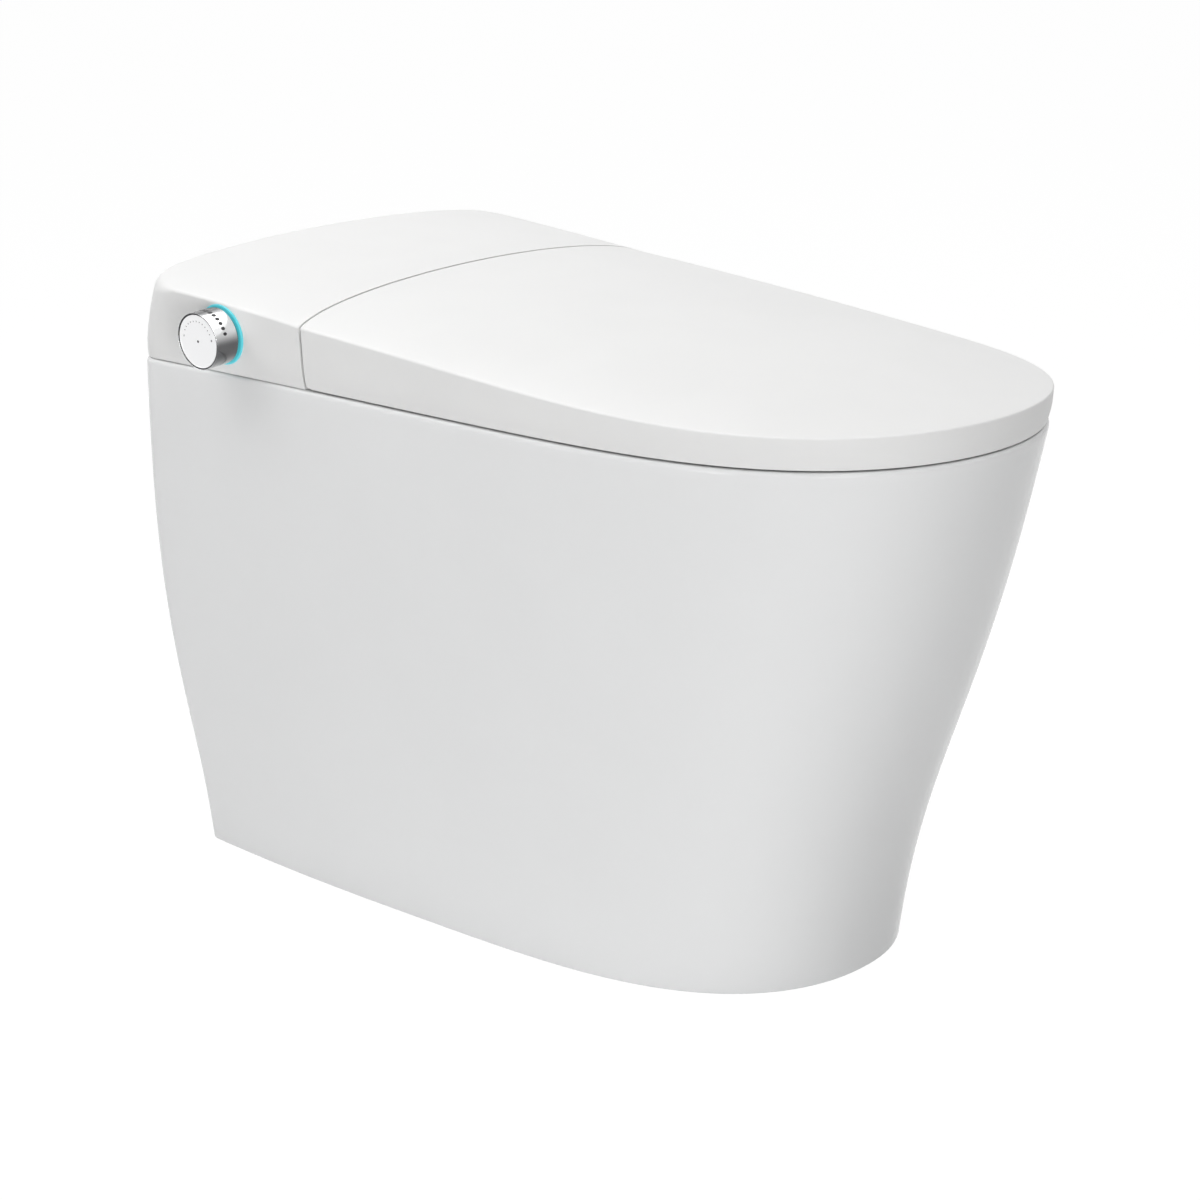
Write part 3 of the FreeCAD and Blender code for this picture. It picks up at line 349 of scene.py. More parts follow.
def chrome_painted_reflection(name):
    finish = Finish(name)
    y, z = finish.axes()[1:]
    angle = finish.node("ShaderNodeMath", {"operation": "ARCTAN2"},
                        {0: z - float(DIAL_AT[2]), 1: (y - float(DIAL_AT[1])) * -1.0})
    top = angle.between(*TOP_PAINTED_BAND)
    foot = 1 - angle.between(*FOOT_PAINTED_BAND)
    deep = 1 - angle.between(*DEEP_PAINTED_BAND)
    # painted reflection: dark bands at the top and the foot of the ring, a lighter band deep in it
    dark = top * PAINTED_BANDS_SHARE + foot * PAINTED_BANDS_SHARE - deep * DEEP_PAINTED_SHARE
    smear = finish.noise(scale=240.0)
    finish.set(Base_Color=finish.blend(dark, CHROME_BRIGHT, PAINTED_REFLECTION_DARK), Metallic=1.0)
    finish.set(Roughness=0.09 + 0.05 * smear)
    return finish.material


# %% [markdown]
# The dial's face is a satin silver lacquer full of fine flakes. The light ring is a milky lens that
# glows cyan, a little cloudy where the plastic is thicker. The print is black ink whose edge is never
# quite even.

# %% Dial face, lens and ink
SILVER_BRIGHT, SILVER_DIM, FLAKE_DEPTH = (0.93, 0.93, 0.935), (0.87, 0.87, 0.88), 0.00004
LENS_BODY, GLOW_DEEP, GLOW_PALE, GLOW = (0.10, 0.45, 0.50, 1), (0.05, 0.58, 0.70), (0.08, 0.66, 0.76), 0.42
INK_BLACK, INK_GREY = (0.012, 0.012, 0.013), (0.03, 0.03, 0.032)


def satin_silver(name):
    finish = Finish(name)
    flake = finish.noise(scale=2600.0)
    finish.set(Base_Color=finish.blend(flake, SILVER_BRIGHT, SILVER_DIM), Metallic=0.75)
    finish.set(Roughness=0.34 + 0.1 * flake, Normal=finish.bump(flake, strength=0.08, depth=FLAKE_DEPTH))
    return finish.material


def lit_lens(name):
    finish = Finish(name)
    cloud = finish.noise(scale=55.0)
    glow = finish.blend(cloud.between(*CLOUD), GLOW_DEEP, GLOW_PALE)
    finish.set(Base_Color=LENS_BODY, Roughness=0.35 + 0.1 * cloud)
    finish.set(Emission_Color=glow, Emission_Strength=GLOW)
    return finish.material


def print_ink(name):
    finish = Finish(name)
    edge = finish.noise(scale=3000.0)
    finish.set(Base_Color=finish.blend(edge, INK_BLACK, INK_GREY), Roughness=0.4 + 0.1 * edge)
    return finish.material


# %% [markdown]
# Each slot of the record gets one finish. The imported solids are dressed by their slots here, so that
# what stays in view of them, and all the works under the cover, look like what they are made of.

# %% Dress the solids
FINISHES = {
    "glazed_ceramic": glazed_china("glazed_china"),
    "white_shell": moulded("satin_white", SHELL_WHITE, 0.30),
    "white_plastic": moulded("white_moulding", (0.84, 0.84, 0.835), 0.42),
    "grey_plastic": moulded("grey_moulding", (0.46, 0.47, 0.49), 0.5),
    "dark_plastic": moulded("dark_moulding", (0.05, 0.05, 0.055), 0.48),
    "black_rubber": rubber("black_rubber", (0.03, 0.03, 0.032)),
    "white_rubber": rubber("white_rubber", (0.66, 0.66, 0.65)),
    "steel": drawn_steel("drawn_steel", 0.24),
    "chrome": chrome_painted_reflection("chrome_painted_reflection"),
    "silver_face": satin_silver("satin_silver"),
    "cyan_light": lit_lens("lit_lens"),
    "heater_foil": crinkled_foil("crinkled_foil"),
    "carbon": pleated_carbon("pleated_carbon"),
    "circuit_green": circuit_board("circuit_board"),
    "brass": machined_brass("machined_brass"),
}
INK = print_ink("print_ink")
for part in frame["record"]["subparts"]:
    dressed = nodes[part["node"]].data.materials
    dressed.clear()
    dressed.append(FINISHES[part["material_slot"]])
print("finishes", len(FINISHES))

# %% [markdown]
# Every new piece is a stack of rings of points. One function lays quads between neighbouring rings,
# closes the ends, merges the points that meet and turns the faces outwards. A second function cuts
# one closed shape out of another, as a maker would mill it.

# %% Mesh helpers
MERGE = 1e-6
SHARP = math.radians(32)


def skin(name, stacks, caps=(False, False), wrap=False):
    """Quads between neighbouring rings of each stack. caps closes the first and last ring with a flat
    face, and wrap joins the last ring to the first."""
    points, faces, start = [], [], 0
    for rings in stacks:
        rows, count, _ = rings.shape
        index = start + np.arange(rows * count).reshape(rows, count)
        ends = index[:1] if wrap else index[:0]
        low = np.vstack([index, ends])[:-1]
        high = np.vstack([index, ends])[1:]
        quads = np.stack([low, np.roll(low, -1, 1), np.roll(high, -1, 1), high], -1)
        faces += quads.reshape(-1, 4).tolist()
        if caps[0]:
            faces.append(index[0, ::-1].tolist())
        if caps[1]:
            faces.append(index[-1].tolist())
        points.append(rings.reshape(-1, 3))
        start += rows * count
    mesh = bpy.data.meshes.new(name)
    mesh.from_pydata(np.concatenate(points).tolist(), [], faces)
    work = bmesh.new()
    work.from_mesh(mesh)
    bmesh.ops.remove_doubles(work, verts=work.verts, dist=MERGE)
    bmesh.ops.dissolve_degenerate(work, dist=MERGE, edges=work.edges)
    bmesh.ops.recalc_face_normals(work, faces=work.faces)
    work.to_mesh(mesh)
    work.free()
    piece = bpy.data.objects.new(name, mesh)
    bpy.context.scene.collection.objects.link(piece)
    return piece


def cut(piece, *tools):
    """Cuts closed tools out of a closed piece and removes the tools."""
    for tool in tools:
        step = piece.modifiers.new("cut", "BOOLEAN")
        step.operation, step.solver, step.object = "DIFFERENCE", "EXACT", tool
        seen = piece.evaluated_get(bpy.context.evaluated_depsgraph_get())
        made = bpy.data.meshes.new_from_object(seen)
        piece.modifiers.clear()
        piece.data = made
        bpy.data.objects.remove(tool)


def block(low, high):
    """Box between two corners, used as a cutting tool."""
    x = np.array([low[0], high[0], high[0], low[0]])
    y = np.array([low[1], low[1], high[1], high[1]])
    rings = [np.stack([x, y, np.full(4, z)], 1) for z in (low[2], high[2])]
    return skin("tool", [np.array(rings)], (True, True))


def dress(piece, body, slot, *stands_for, finish=None):
    """Finishes a piece: smooth faces with true edges, its slot's finish, its body; hides the nodes it replaces."""
    mesh = piece.data
    mesh.shade_smooth()
    mesh.set_sharp_from_angle(angle=SHARP)
    mesh.materials.clear()
    mesh.materials.append(finish or FINISHES[slot])
    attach(piece, body)
    if stands_for:
        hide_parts(*stands_for)
    print(piece.name, "faces", len(mesh.polygons))


def bend(first, corner, last, steps):
    """Rounded corner: the curve (1-u)^2 first + 2u(1-u) corner + u^2 last, as rows of points."""
    u = np.linspace(0, 1, steps).reshape(-1, *([1] * np.ndim(first)))
    return (1 - u) ** 2 * first + 2 * u * (1 - u) * corner + u ** 2 * last


def rounded(points, radius, steps=5):
    """Profile of (radius, height) points whose inner corners are rounded by a length."""
    points = np.array(points, float)
    rows = [points[:1]]
    for before, corner, after in zip(points[:-2], points[1:-1], points[2:]):
        back, on = before - corner, after - corner
        reach = min(radius, np.linalg.norm(back) / 2, np.linalg.norm(on) / 2)
        rows.append(bend(corner + back / np.linalg.norm(back) * reach, corner,
                         corner + on / np.linalg.norm(on) * reach, steps))
    return np.concatenate(rows + [points[-1:]])


def turned(profile, centre, axis, steps=96):
    """Rings of a profile turned about an axis: centre + height axis + radius (cos a, sin a)."""
    profile = np.asarray(profile, float)
    axis = np.asarray(axis, float) / np.linalg.norm(axis)
    side = np.cross(axis, (0, 1, 0) if abs(axis[1]) < 0.9 else (1, 0, 0))
    side /= np.linalg.norm(side)
    angle = np.linspace(0, 2 * np.pi, steps, endpoint=False)[:, None]
    rim = np.cos(angle) * side + np.sin(angle) * np.cross(axis, side)
    return np.asarray(centre) + profile[:, 1][:, None, None] * axis + profile[:, 0][:, None, None] * rim


# %% [markdown]
# The pan's plan is flat at the back, nearly straight at the sides and a superellipse at the front.
# From the floor to the rim the same plan grows wider and reaches further forward, and a smooth curve
# through a few listed shares says how fast. All sizes are in metres and come from the frame
# where a node's box gives them.

# %% Plan curves
pan_low, pan_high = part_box("pan_shell")
BACK, RIM_HEIGHT, RIM_REACH = pan_high.y, pan_high.z, -pan_low.y
RIM_HALF, BACK_BOW, RIM_BEND = 0.197, 0.004, 0.090
BASE_HALF, BASE_TUCK, BASE_BEND, BASE_REACH = 0.154, 0.011, 0.063, 0.295
CORNER, BASE_CORNER = 0.022, 0.014
RIM_POWERS, BASE_POWERS = (2.0, 5.1), (2.16, 4.1)
LEVEL_SHARES = (0, 0.12, 0.28, 0.5, 0.75, 1)
WIDTH_SHARES = (0, 0.153, 0.424, 0.759, 0.952, 1)
REACH_SHARES = (0, 0.061, 0.196, 0.469, 0.762, 1)
FRONT_STEPS, SIDE_STEPS, CORNER_STEPS, BACK_STEPS = 44, 16, 9, 14


def smooth_through(places, values, at):
    """Natural cubic spline through a few points: its second slopes solve one small linear system."""
    x, y, at = np.array(places, float), np.array(values, float), np.asarray(at, float)
    h = np.diff(x)
    size = len(x)
    system, load = np.eye(size), np.zeros(size)
    for i in range(1, size - 1):
        system[i, i - 1:i + 2] = h[i - 1], 2 * (h[i - 1] + h[i]), h[i]
        load[i] = 6 * ((y[i + 1] - y[i]) / h[i] - (y[i] - y[i - 1]) / h[i - 1])
    m = np.linalg.solve(system, load)
    k = np.clip(np.searchsorted(x, at, side="right") - 1, 0, size - 2)
    a, b, w = x[k + 1] - at, at - x[k], h[k]
    curve = (m[k] * a ** 3 + m[k + 1] * b ** 3) / (6 * w)
    return curve + (y[k] / w - m[k] * w / 6) * a + (y[k + 1] / w - m[k + 1] * w / 6) * b


def plan(half, bow, bend_y, reach, powers, corner, back):
    """Closed plan curves, one row for each value of the sizes. Front: x = half (1 - t^n)^(1/m),
    y = bend - (reach + bend) t. Side: x = half + bow s^2. Then a corner arc and the flat back."""
    half, bow, bend_y, reach, corner, back = (np.reshape(v, (-1, 1)) for v in
                                              np.broadcast_arrays(half, bow, bend_y, reach, corner, back))
    side_power, front_power = (np.reshape(p, (-1, 1)) for p in powers)
    t = np.sin(np.pi / 2 * np.linspace(1, 0, FRONT_STEPS, endpoint=False))[None]
    s = np.linspace(0, 1, SIDE_STEPS, endpoint=False)[None]
    a = np.linspace(0, np.pi / 2, CORNER_STEPS, endpoint=False)[None]
    b = np.linspace(1, 0, BACK_STEPS)[None]
    run = (back - corner - bend_y) / (back - bend_y)
    edge = half + bow * run ** 2
    x = np.concatenate([half * (1 - t ** front_power) ** (1 / side_power), half + bow * (s * run) ** 2,
                        edge - corner + corner * np.cos(a), (edge - corner) * b], 1)
    y = np.concatenate([bend_y - (reach + bend_y) * t, bend_y + (back - corner - bend_y) * s,
                        back - corner + corner * np.sin(a), back + 0 * b], 1)
    x = np.concatenate([x, -x[:, -2:0:-1]], 1)
    y = np.concatenate([y, y[:, -2:0:-1]], 1)
    return np.stack([x, y], -1)


def inward(line):
    """Unit normals that point into a closed plan curve."""
    along = np.roll(line, -1, -2) - np.roll(line, 1, -2)
    normal = np.stack([-along[..., 1], along[..., 0]], -1)
    return normal / np.linalg.norm(normal, axis=-1, keepdims=True)


def lift(line, height):
    """Plan points with a height, as points in space."""
    return np.concatenate([line, np.broadcast_to(np.reshape(height, (-1, 1)), (*line.shape[:-1], 1))], -1)


def storeys(lines, heights):
    """Rows of plan points, each row at its own height."""
    tall = np.broadcast_to(np.reshape(heights, (-1, 1, 1)), (*lines.shape[:2], 1))
    return np.concatenate([lines, tall], -1)


def towards_spine(line, shares):
    """Rows of plan points that close in from a line to a straight spine on x = 0."""
    spine = np.stack([0 * line[:, 0], np.clip(line[:, 1], -RIM_REACH + RIM_HALF, BACK - RIM_HALF)], 1)
    return line + np.reshape(shares, (-1, 1, 1)) * (spine - line)


def skirt_plan(level, inset):
    """Plan of the pan at a share of its height, moved in by a wall."""
    wide = smooth_through(LEVEL_SHARES, WIDTH_SHARES, level)
    far = smooth_through(LEVEL_SHARES, REACH_SHARES, level)
    powers = [b + (r - b) * level for b, r in zip(BASE_POWERS, RIM_POWERS)]
    half = BASE_HALF + (RIM_HALF - BASE_HALF) * wide - inset
    bow = BACK_BOW * wide - BASE_TUCK * (1 - wide)
    bend_y = BASE_BEND + (RIM_BEND - BASE_BEND) * level
    reach = BASE_REACH + (RIM_REACH - BASE_REACH) * far - inset
    corner = BASE_CORNER + (CORNER - BASE_CORNER) * level
    return plan(half, bow, bend_y, reach, powers, corner, BACK - inset)


# %% [markdown]
# The pan is cast in one piece, so its rim is rolled over and its foot has a small radius. Its outside
# is one stack of plan curves: the rounded foot, the walls, the rolled rim and the flat deck, which
# closes in to a spine. That leaves a closed block.

# %% Pan outside
RIM_ROUND, FOOT_ROUND = 0.0048, 0.0015
SKIRT_ROWS, DECK_ROWS, ROUND_STEPS = 56, 14, 8
level = np.linspace(FOOT_ROUND, RIM_HEIGHT - RIM_ROUND, SKIRT_ROWS) / RIM_HEIGHT
walls = storeys(skirt_plan(level, 0), level * RIM_HEIGHT)
foot = skirt_plan(np.zeros(1), 0)[0]
rim = skirt_plan(np.ones(1), 0)[0]
foot_in = foot + inward(foot) * FOOT_ROUND
rim_in = rim + inward(rim) * RIM_ROUND
foot_rows = bend(lift(foot_in, 0), lift(foot, 0), walls[0], ROUND_STEPS)
rim_rows = bend(walls[-1], lift(rim, RIM_HEIGHT), lift(rim_in, RIM_HEIGHT), ROUND_STEPS)
deck_rows = storeys(towards_spine(rim_in, np.linspace(0, 1, DECK_ROWS)[1:]), RIM_HEIGHT)
pan = skin("pan_skirt", [np.concatenate([foot_rows[:-1], walls, rim_rows[1:], deck_rows])], (True, False))
print("pan block faces", len(pan.data.polygons))

# %% [markdown]
# The mould's cores leave the hollow under the deck and the mouth of the bowl, whose upper edge is
# rounded like the rim. Each core is a closed shape of its own, made a little longer than the cut.

# %% Pan cores
PAN_WALL, DECK, OVERRUN = 0.012, 0.014, 0.01
DECK_LOW = RIM_HEIGHT - DECK
MOUTH_HALF, MOUTH_FRONT, MOUTH_REAR, MOUTH_POWER, MOUTH_ROUND = 0.128, -0.352, 0.024, 2.25, 0.005


def egg(half, front, rear, steps=144):
    """Superellipse between a front and a rear point: |x/a|^p + |y/b|^p = 1."""
    angle = np.linspace(0, 2 * np.pi, steps, endpoint=False)
    c, s = np.cos(angle), np.sin(angle)
    x = np.sign(c) * np.abs(c) ** (2 / MOUTH_POWER) * half
    y = (front + rear) / 2 + np.sign(s) * np.abs(s) ** (2 / MOUTH_POWER) * (rear - front) / 2
    return np.stack([x, y], 1)


level = np.linspace(0, DECK_LOW, SKIRT_ROWS) / RIM_HEIGHT
inside = storeys(skirt_plan(level, PAN_WALL), level * RIM_HEIGHT)
inside[0, :, 2] = -OVERRUN
hollow = skin("tool", [inside], (True, True))
mouth = egg(MOUTH_HALF, MOUTH_FRONT, MOUTH_REAR)
mouth_out = mouth - inward(mouth) * MOUTH_ROUND
flare = bend(lift(mouth, RIM_HEIGHT - MOUTH_ROUND), lift(mouth, RIM_HEIGHT), lift(mouth_out, RIM_HEIGHT),
             ROUND_STEPS)
mouth_rows = [lift(mouth, DECK_LOW - OVERRUN)[None], flare, lift(mouth_out, RIM_HEIGHT + OVERRUN)[None]]
mouth_tool = skin("tool", [np.concatenate(mouth_rows)], (True, True))
cut(pan, hollow, mouth_tool)
print("cored pan faces", len(pan.data.polygons))

# %% [markdown]
# Four openings are then cut: the well under the works, the service window in the back, and along the
# wands' slant the slot that they slide through and the wider seat of their housing.

# %% Pan openings
WAND_TILT = math.radians(22)
WAND_Y, WAND_DROP = 0.063, 0.007
WAND_TIP = np.array([0, WAND_Y, RIM_HEIGHT - WAND_DROP])
SLOT_HALF, SLOT_AHEAD, SLOT_BACK, SLOT_DOWN, SLOT_UP = 0.027, 0.062, 0.128, 0.012, 0.044
HOUSE_HALF, HOUSE_BACK, HOUSE_DOWN = 0.032, 0.130, 0.013
WELL_HALF, WELL_FRONT, WELL_REAR = 0.110, 0.132, 0.250
WINDOW_HALF, WINDOW_FOOT, WINDOW_HEAD = 0.097, 0.179, 0.055


def slanted(half, ahead_by, back_by, down, up):
    """Box along the wands' slant: a flat box turned about the wand tip."""
    x = np.array([-half, half, half, -half])
    y = np.array([-ahead_by, -ahead_by, back_by, back_by])
    rings = []
    for z in (-down, up):
        turned_y = y * math.cos(WAND_TILT) - z * math.sin(WAND_TILT)
        turned_z = y * math.sin(WAND_TILT) + z * math.cos(WAND_TILT)
        rings.append(np.stack([x, turned_y, turned_z], 1) + WAND_TIP)
    return skin("tool", [np.array(rings)], (True, True))


well = block((-WELL_HALF, WELL_FRONT, DECK_LOW - OVERRUN), (WELL_HALF, WELL_REAR, RIM_HEIGHT + OVERRUN))
window = block((-WINDOW_HALF, BACK - PAN_WALL - OVERRUN, RIM_HEIGHT - WINDOW_FOOT),
               (WINDOW_HALF, BACK + OVERRUN, RIM_HEIGHT - WINDOW_HEAD))
slot = slanted(SLOT_HALF, SLOT_AHEAD, SLOT_BACK, SLOT_DOWN, SLOT_UP)
house = slanted(HOUSE_HALF, 0, HOUSE_BACK, HOUSE_DOWN, SLOT_UP)
cut(pan, well, window, slot, house)
dress(pan, "base", "glazed_ceramic", "pan_shell")

# %% [markdown]
# Lid and rear cover are one crowned form, parted by a seam. The crown climbs from the tip of the lid
# and levels out at the back, and falls to the sides as part of an ellipse. The sides lean out by a few
# degrees and are tucked in at the foot, so the rolled rim shows below them. The back leans forward, most
# at its corners, which also get rounder as they rise.

# %% Crown and sides
TIP_RISE, CROWN_RISE, CROWN_POWER = 0.026, 0.0546, 1.54
CROWN_OUT, CROWN_DROP, BACK_FLAT = 0.008, 0.0305, 0.37
CROWN_HALF, LENGTH = RIM_HALF + CROWN_OUT, BACK + RIM_REACH
FLARE = math.tan(math.radians(4))
LEAN, LEAN_TALL = 0.0170, 0.090
LEAN_LEVELS, LEAN_SHARES = (0, 0.3, 1), (0, 0.18, 1)
BULGE, BULGE_RUN, CORNER_GROW = 0.5, 0.06, 0.024
UNDERCUT, UNDERCUT_TALL = 0.0020, 0.016
LEVELS = 49


def crown(x, y):
    """Height of the crowned top: it climbs as 1 - (distance from the back)^1.5, and falls to the sides as
    1 - sqrt(1 - (x / half)^2), less so towards the back."""
    left = np.clip((BACK - y) / LENGTH, 0, None)
    flat = BACK_FLAT * np.clip((y - RIM_BEND) / (BACK - RIM_BEND), 0, None)
    side = 1 - np.sqrt(np.clip(1 - (x / CROWN_HALF) ** 2, 0, 1))
    return RIM_HEIGHT + TIP_RISE + CROWN_RISE * (1 - left ** CROWN_POWER) - CROWN_DROP * (1 - flat) * side


def leaning_sides(rise, inset, undercut):
    """Plan curves of the sides at each rise. The back leans forward by a share of LEAN, its middle less by
    (1 - (x / half)^2) of half of that, and the foot is tucked in by undercut (1 - rise / tall)^2."""
    tilt = smooth_through(LEAN_LEVELS, LEAN_SHARES, np.clip(rise / LEAN_TALL, 0, 1))
    lean = LEAN * tilt
    out = FLARE * rise - inset - undercut * np.clip(1 - rise / UNDERCUT_TALL, 0, 1) ** 2
    one = np.ones(LEVELS)
    lines = plan(RIM_HALF + out, BACK_BOW * one, RIM_BEND, RIM_REACH + out, [p * one for p in RIM_POWERS],
                 CORNER + CORNER_GROW * tilt, BACK - inset - lean)
    rear = np.clip((lines[..., 1] - RIM_BEND) / BULGE_RUN, 0, 1)
    middle = np.clip(1 - (lines[..., 0] / RIM_HALF) ** 2, 0, 1)
    lines[..., 1] += BULGE * lean[:, None] * rear * middle
    return lines


# %% [markdown]
# One function makes the whole crowned block, and each of the two shells is cut from it. It finds where
# each column of the sides meets the crown and rounds the edge there, crisp along the sides and softer
# round the back.

# %% Crowned block
LID_GAP, COVER_GAP = 0.0013, 0.0008
LID_LOW, COVER_LOW = RIM_HEIGHT + LID_GAP, RIM_HEIGHT + COVER_GAP
SIDE_ROUND, BACK_ROUND, LIP_ROUND = 0.0016, 0.010, 0.0004
SOFT_FROM, SOFT_RUN = 2.6 * CORNER, 1.6 * CORNER
SIDE_ROWS, TOP_ROWS, LIP_STEPS = 13, 34, 4


def crowned_block(name, low, inset, back_round, lip=0.0, undercut=0.0):
    """Closed block under the crown, moved in by a wall: side rows, a rounded edge and rows to the spine."""
    rise = np.linspace(low - COVER_LOW, LEAN_TALL, LEVELS)
    lines = leaning_sides(rise, inset, undercut)
    over = COVER_LOW + rise[:, None] - crown(lines[..., 0], lines[..., 1]) + inset
    column = np.arange(lines.shape[1])
    k = np.clip(np.argmax(over > 0, 0), 1, LEVELS - 1)
    share = over[k - 1, column] / (over[k - 1, column] - over[k, column])
    top_rise = rise[k - 1] + share * (rise[k] - rise[k - 1])

    def side_at(height):
        """Points of the side at one height for each column."""
        place = np.clip((height - rise[0]) / (rise[1] - rise[0]), 0, LEVELS - 1.001)
        base = place.astype(int)
        part = (place - base)[:, None]
        line = lines[base, column] * (1 - part) + lines[base + 1, column] * part
        return np.concatenate([line, (COVER_LOW + height)[:, None]], 1)

    edge = side_at(top_rise)
    soft = np.clip((edge[:, 1] - (BACK - SOFT_FROM)) / SOFT_RUN, 0, 1)
    length = SIDE_ROUND + (back_round - SIDE_ROUND) * soft * soft * (3 - 2 * soft)
    start = side_at(top_rise - length)
    into = inward(edge[:, :2])
    shoulder = edge[:, :2] + into * length[:, None]
    shoulder = np.concatenate([shoulder, (crown(shoulder[:, 0], shoulder[:, 1]) - inset)[:, None]], 1)
    foot = side_at(np.full(len(column), rise[0]))
    foot_in = foot.copy()
    foot_in[:, :2] += inward(foot[:, :2]) * lip
    heights = rise[0] + lip + np.linspace(0, 1, SIDE_ROWS)[:, None] * (top_rise - length - rise[0] - lip)
    sides = np.array([side_at(height) for height in heights])
    top_plan = towards_spine(shoulder[:, :2], np.linspace(0, 1, TOP_ROWS)[1:])
    top = np.concatenate([top_plan, (crown(top_plan[..., 0], top_plan[..., 1]) - inset)[..., None]], -1)
    rows = [bend(foot_in, foot, sides[0], LIP_STEPS)[:-1]] if lip else []
    rows += [sides, bend(start, edge, shoulder, ROUND_STEPS)[1:], top]
    return skin(name, [np.concatenate(rows)], (True, False))


# %% [markdown]
# The lid's shell is the front of the block with its underside hollowed out, so a wall of even
# thickness is left. Its heel is trimmed on an arc about the hinge, so that it clears the rim as the
# lid swings up.

# %% Lid
SEAM, SEAM_GAP = 0.098, 0.0023
LID_REAR, COVER_FRONT = SEAM - SEAM_GAP / 2, SEAM + SEAM_GAP / 2
LID_WALL, HEEL_GAP, HEEL_STEPS = 0.004, 0.0005, 16
FAR = 0.9
lid = crowned_block("lid_shell_skin", LID_LOW, 0, BACK_ROUND, LIP_ROUND, UNDERCUT)
lid_hollow = crowned_block("tool", LID_LOW - OVERRUN, LID_WALL, SIDE_ROUND)
hinge = next(joint for joint in frame["joints"] if joint["name"] == "lid_hinge")
PIVOT = np.array(hinge["pos_m"])
heel_r = PIVOT[2] - RIM_HEIGHT - HEEL_GAP
heel_y = np.linspace(PIVOT[1], SEAM, HEEL_STEPS)
heel_z = PIVOT[2] - np.sqrt(heel_r ** 2 - (heel_y - PIVOT[1]) ** 2)
heel_y = np.concatenate([heel_y, [SEAM, PIVOT[1]]])
heel_z = np.concatenate([heel_z, [RIM_HEIGHT - OVERRUN, RIM_HEIGHT - OVERRUN]])
heel_ends = [np.stack([0 * heel_y + x, heel_y, heel_z], 1) for x in (-FAR, FAR)]
heel = skin("tool", [np.array(heel_ends)], (True, True))
cut(lid, block((-FAR, LID_REAR, 0), (FAR, FAR, FAR)), lid_hollow, heel)
dress(lid, "lid", "white_shell", "lid_shell")

# %% [markdown]
# Two eyes hang from the lid on the hinge pins. Each is a moulded lug: a ring about the pin whose upper
# half runs straight up into the shell.

# %% Lid eyes
LUG_IN, LUG_WIDE, LUG_R, PIN_R = 0.044, 0.010, 0.006, 0.00406
EYE_STEPS, SMALL = 72, 1e-6


def eye(start, wide, bore, radius, stem):
    """Hinge eye: a ring about the pin that runs up into the shell. Its outline is a circle whose upper
    half is drawn out to a stem, radius / max(|cos a|, ...), cut off at the stem's height."""
    a = np.linspace(0, 2 * np.pi, EYE_STEPS, endpoint=False)
    y, z = np.cos(a), np.sin(a)
    square = np.minimum(radius / np.maximum(np.abs(y), SMALL), stem / np.maximum(np.abs(z), SMALL))
    reach = np.where(z > 0, square, radius)
    rings = []
    for r, x in ((reach, start), (reach, start + wide), (bore, start + wide), (bore, start)):
        rings.append(np.stack([np.full(EYE_STEPS, x), PIVOT[1] + r * y, PIVOT[2] + r * z], 1))
    return np.array(rings)


lug_top = crown(LUG_IN, PIVOT[1] - LUG_R) - PIVOT[2] - LID_WALL / 2
lugs = [eye(x, LUG_WIDE, PIN_R, LUG_R, lug_top) for x in (LUG_IN, -LUG_IN - LUG_WIDE)]
lid_eyes = skin("lid_eyes", lugs, wrap=True)
dress(lid_eyes, "lid", "white_shell")

# %% [markdown]
# The rear cover is the back of the same block. Its front wall is undercut round the hinge, so the lid's
# edge can swing down past it, and it has a low gate for the wands and a round seat for the dial.

# %% Rear cover
COVER_WALL, FRONT_WALL, COVER_SINK = 0.0032, 0.009, 0.0004
SWING_GAP, PIVOT_UNDER, PIVOT_AHEAD = 0.0009, 0.014, 0.017
SEAM_STEPS, SWING_STEPS = 41, 128
GATE_HALF, GATE_TALL = 0.034, 0.034
RING_R, RING_IN, RING_OUT, HOLE_GAP = 0.0239, 0.007, 0.003, 0.0001
cover = crowned_block("rear_cover_skin", COVER_LOW - COVER_SINK, 0, BACK_ROUND, LIP_ROUND / 2, UNDERCUT)
cover_hollow = crowned_block("tool", COVER_LOW - OVERRUN, COVER_WALL, BACK_ROUND)
cut(cover_hollow, block((-FAR, -FAR, 0), (FAR, COVER_FRONT + FRONT_WALL, FAR)))
seam_x = np.linspace(-1, 1, SEAM_STEPS) * CROWN_HALF * math.sqrt(1 - (1 - PIVOT_UNDER / CROWN_DROP) ** 2)
seam_over = np.clip(crown(seam_x, LID_REAR) - PIVOT[2], 0, None)
swing = np.stack([np.sqrt(PIVOT_AHEAD ** 2 + seam_over ** 2) + SWING_GAP, seam_x], 1)
swing = np.concatenate([[[0, swing[0, 1]]], swing, [[0, swing[-1, 1]]]])
swing_tool = skin("tool", [turned(swing, (0, PIVOT[1], PIVOT[2]), (1, 0, 0), SWING_STEPS)])
gate = block((-GATE_HALF, COVER_FRONT - OVERRUN, 0),
             (GATE_HALF, COVER_FRONT + FRONT_WALL + OVERRUN, COVER_LOW + GATE_TALL))
hole_r = RING_R + HOLE_GAP
hole_line = [(0, -RING_IN), (hole_r, -RING_IN), (hole_r, RING_OUT + OVERRUN), (0, RING_OUT + OVERRUN)]
seat_hole = skin("tool", [turned(hole_line, DIAL_AT, DIAL_OUT)])
cut(cover, block((-FAR, -FAR, 0), (FAR, COVER_FRONT, FAR)), cover_hollow, swing_tool, gate, seat_hole)
dress(cover, "base", "white_shell", "rear_cover")

# %% [markdown]
# The dial stands square to the leaning side. A lit ring sits in the cover, and a chromed ring turns in
# front of it. Both are profiles turned about one axis, as they would be on a lathe.

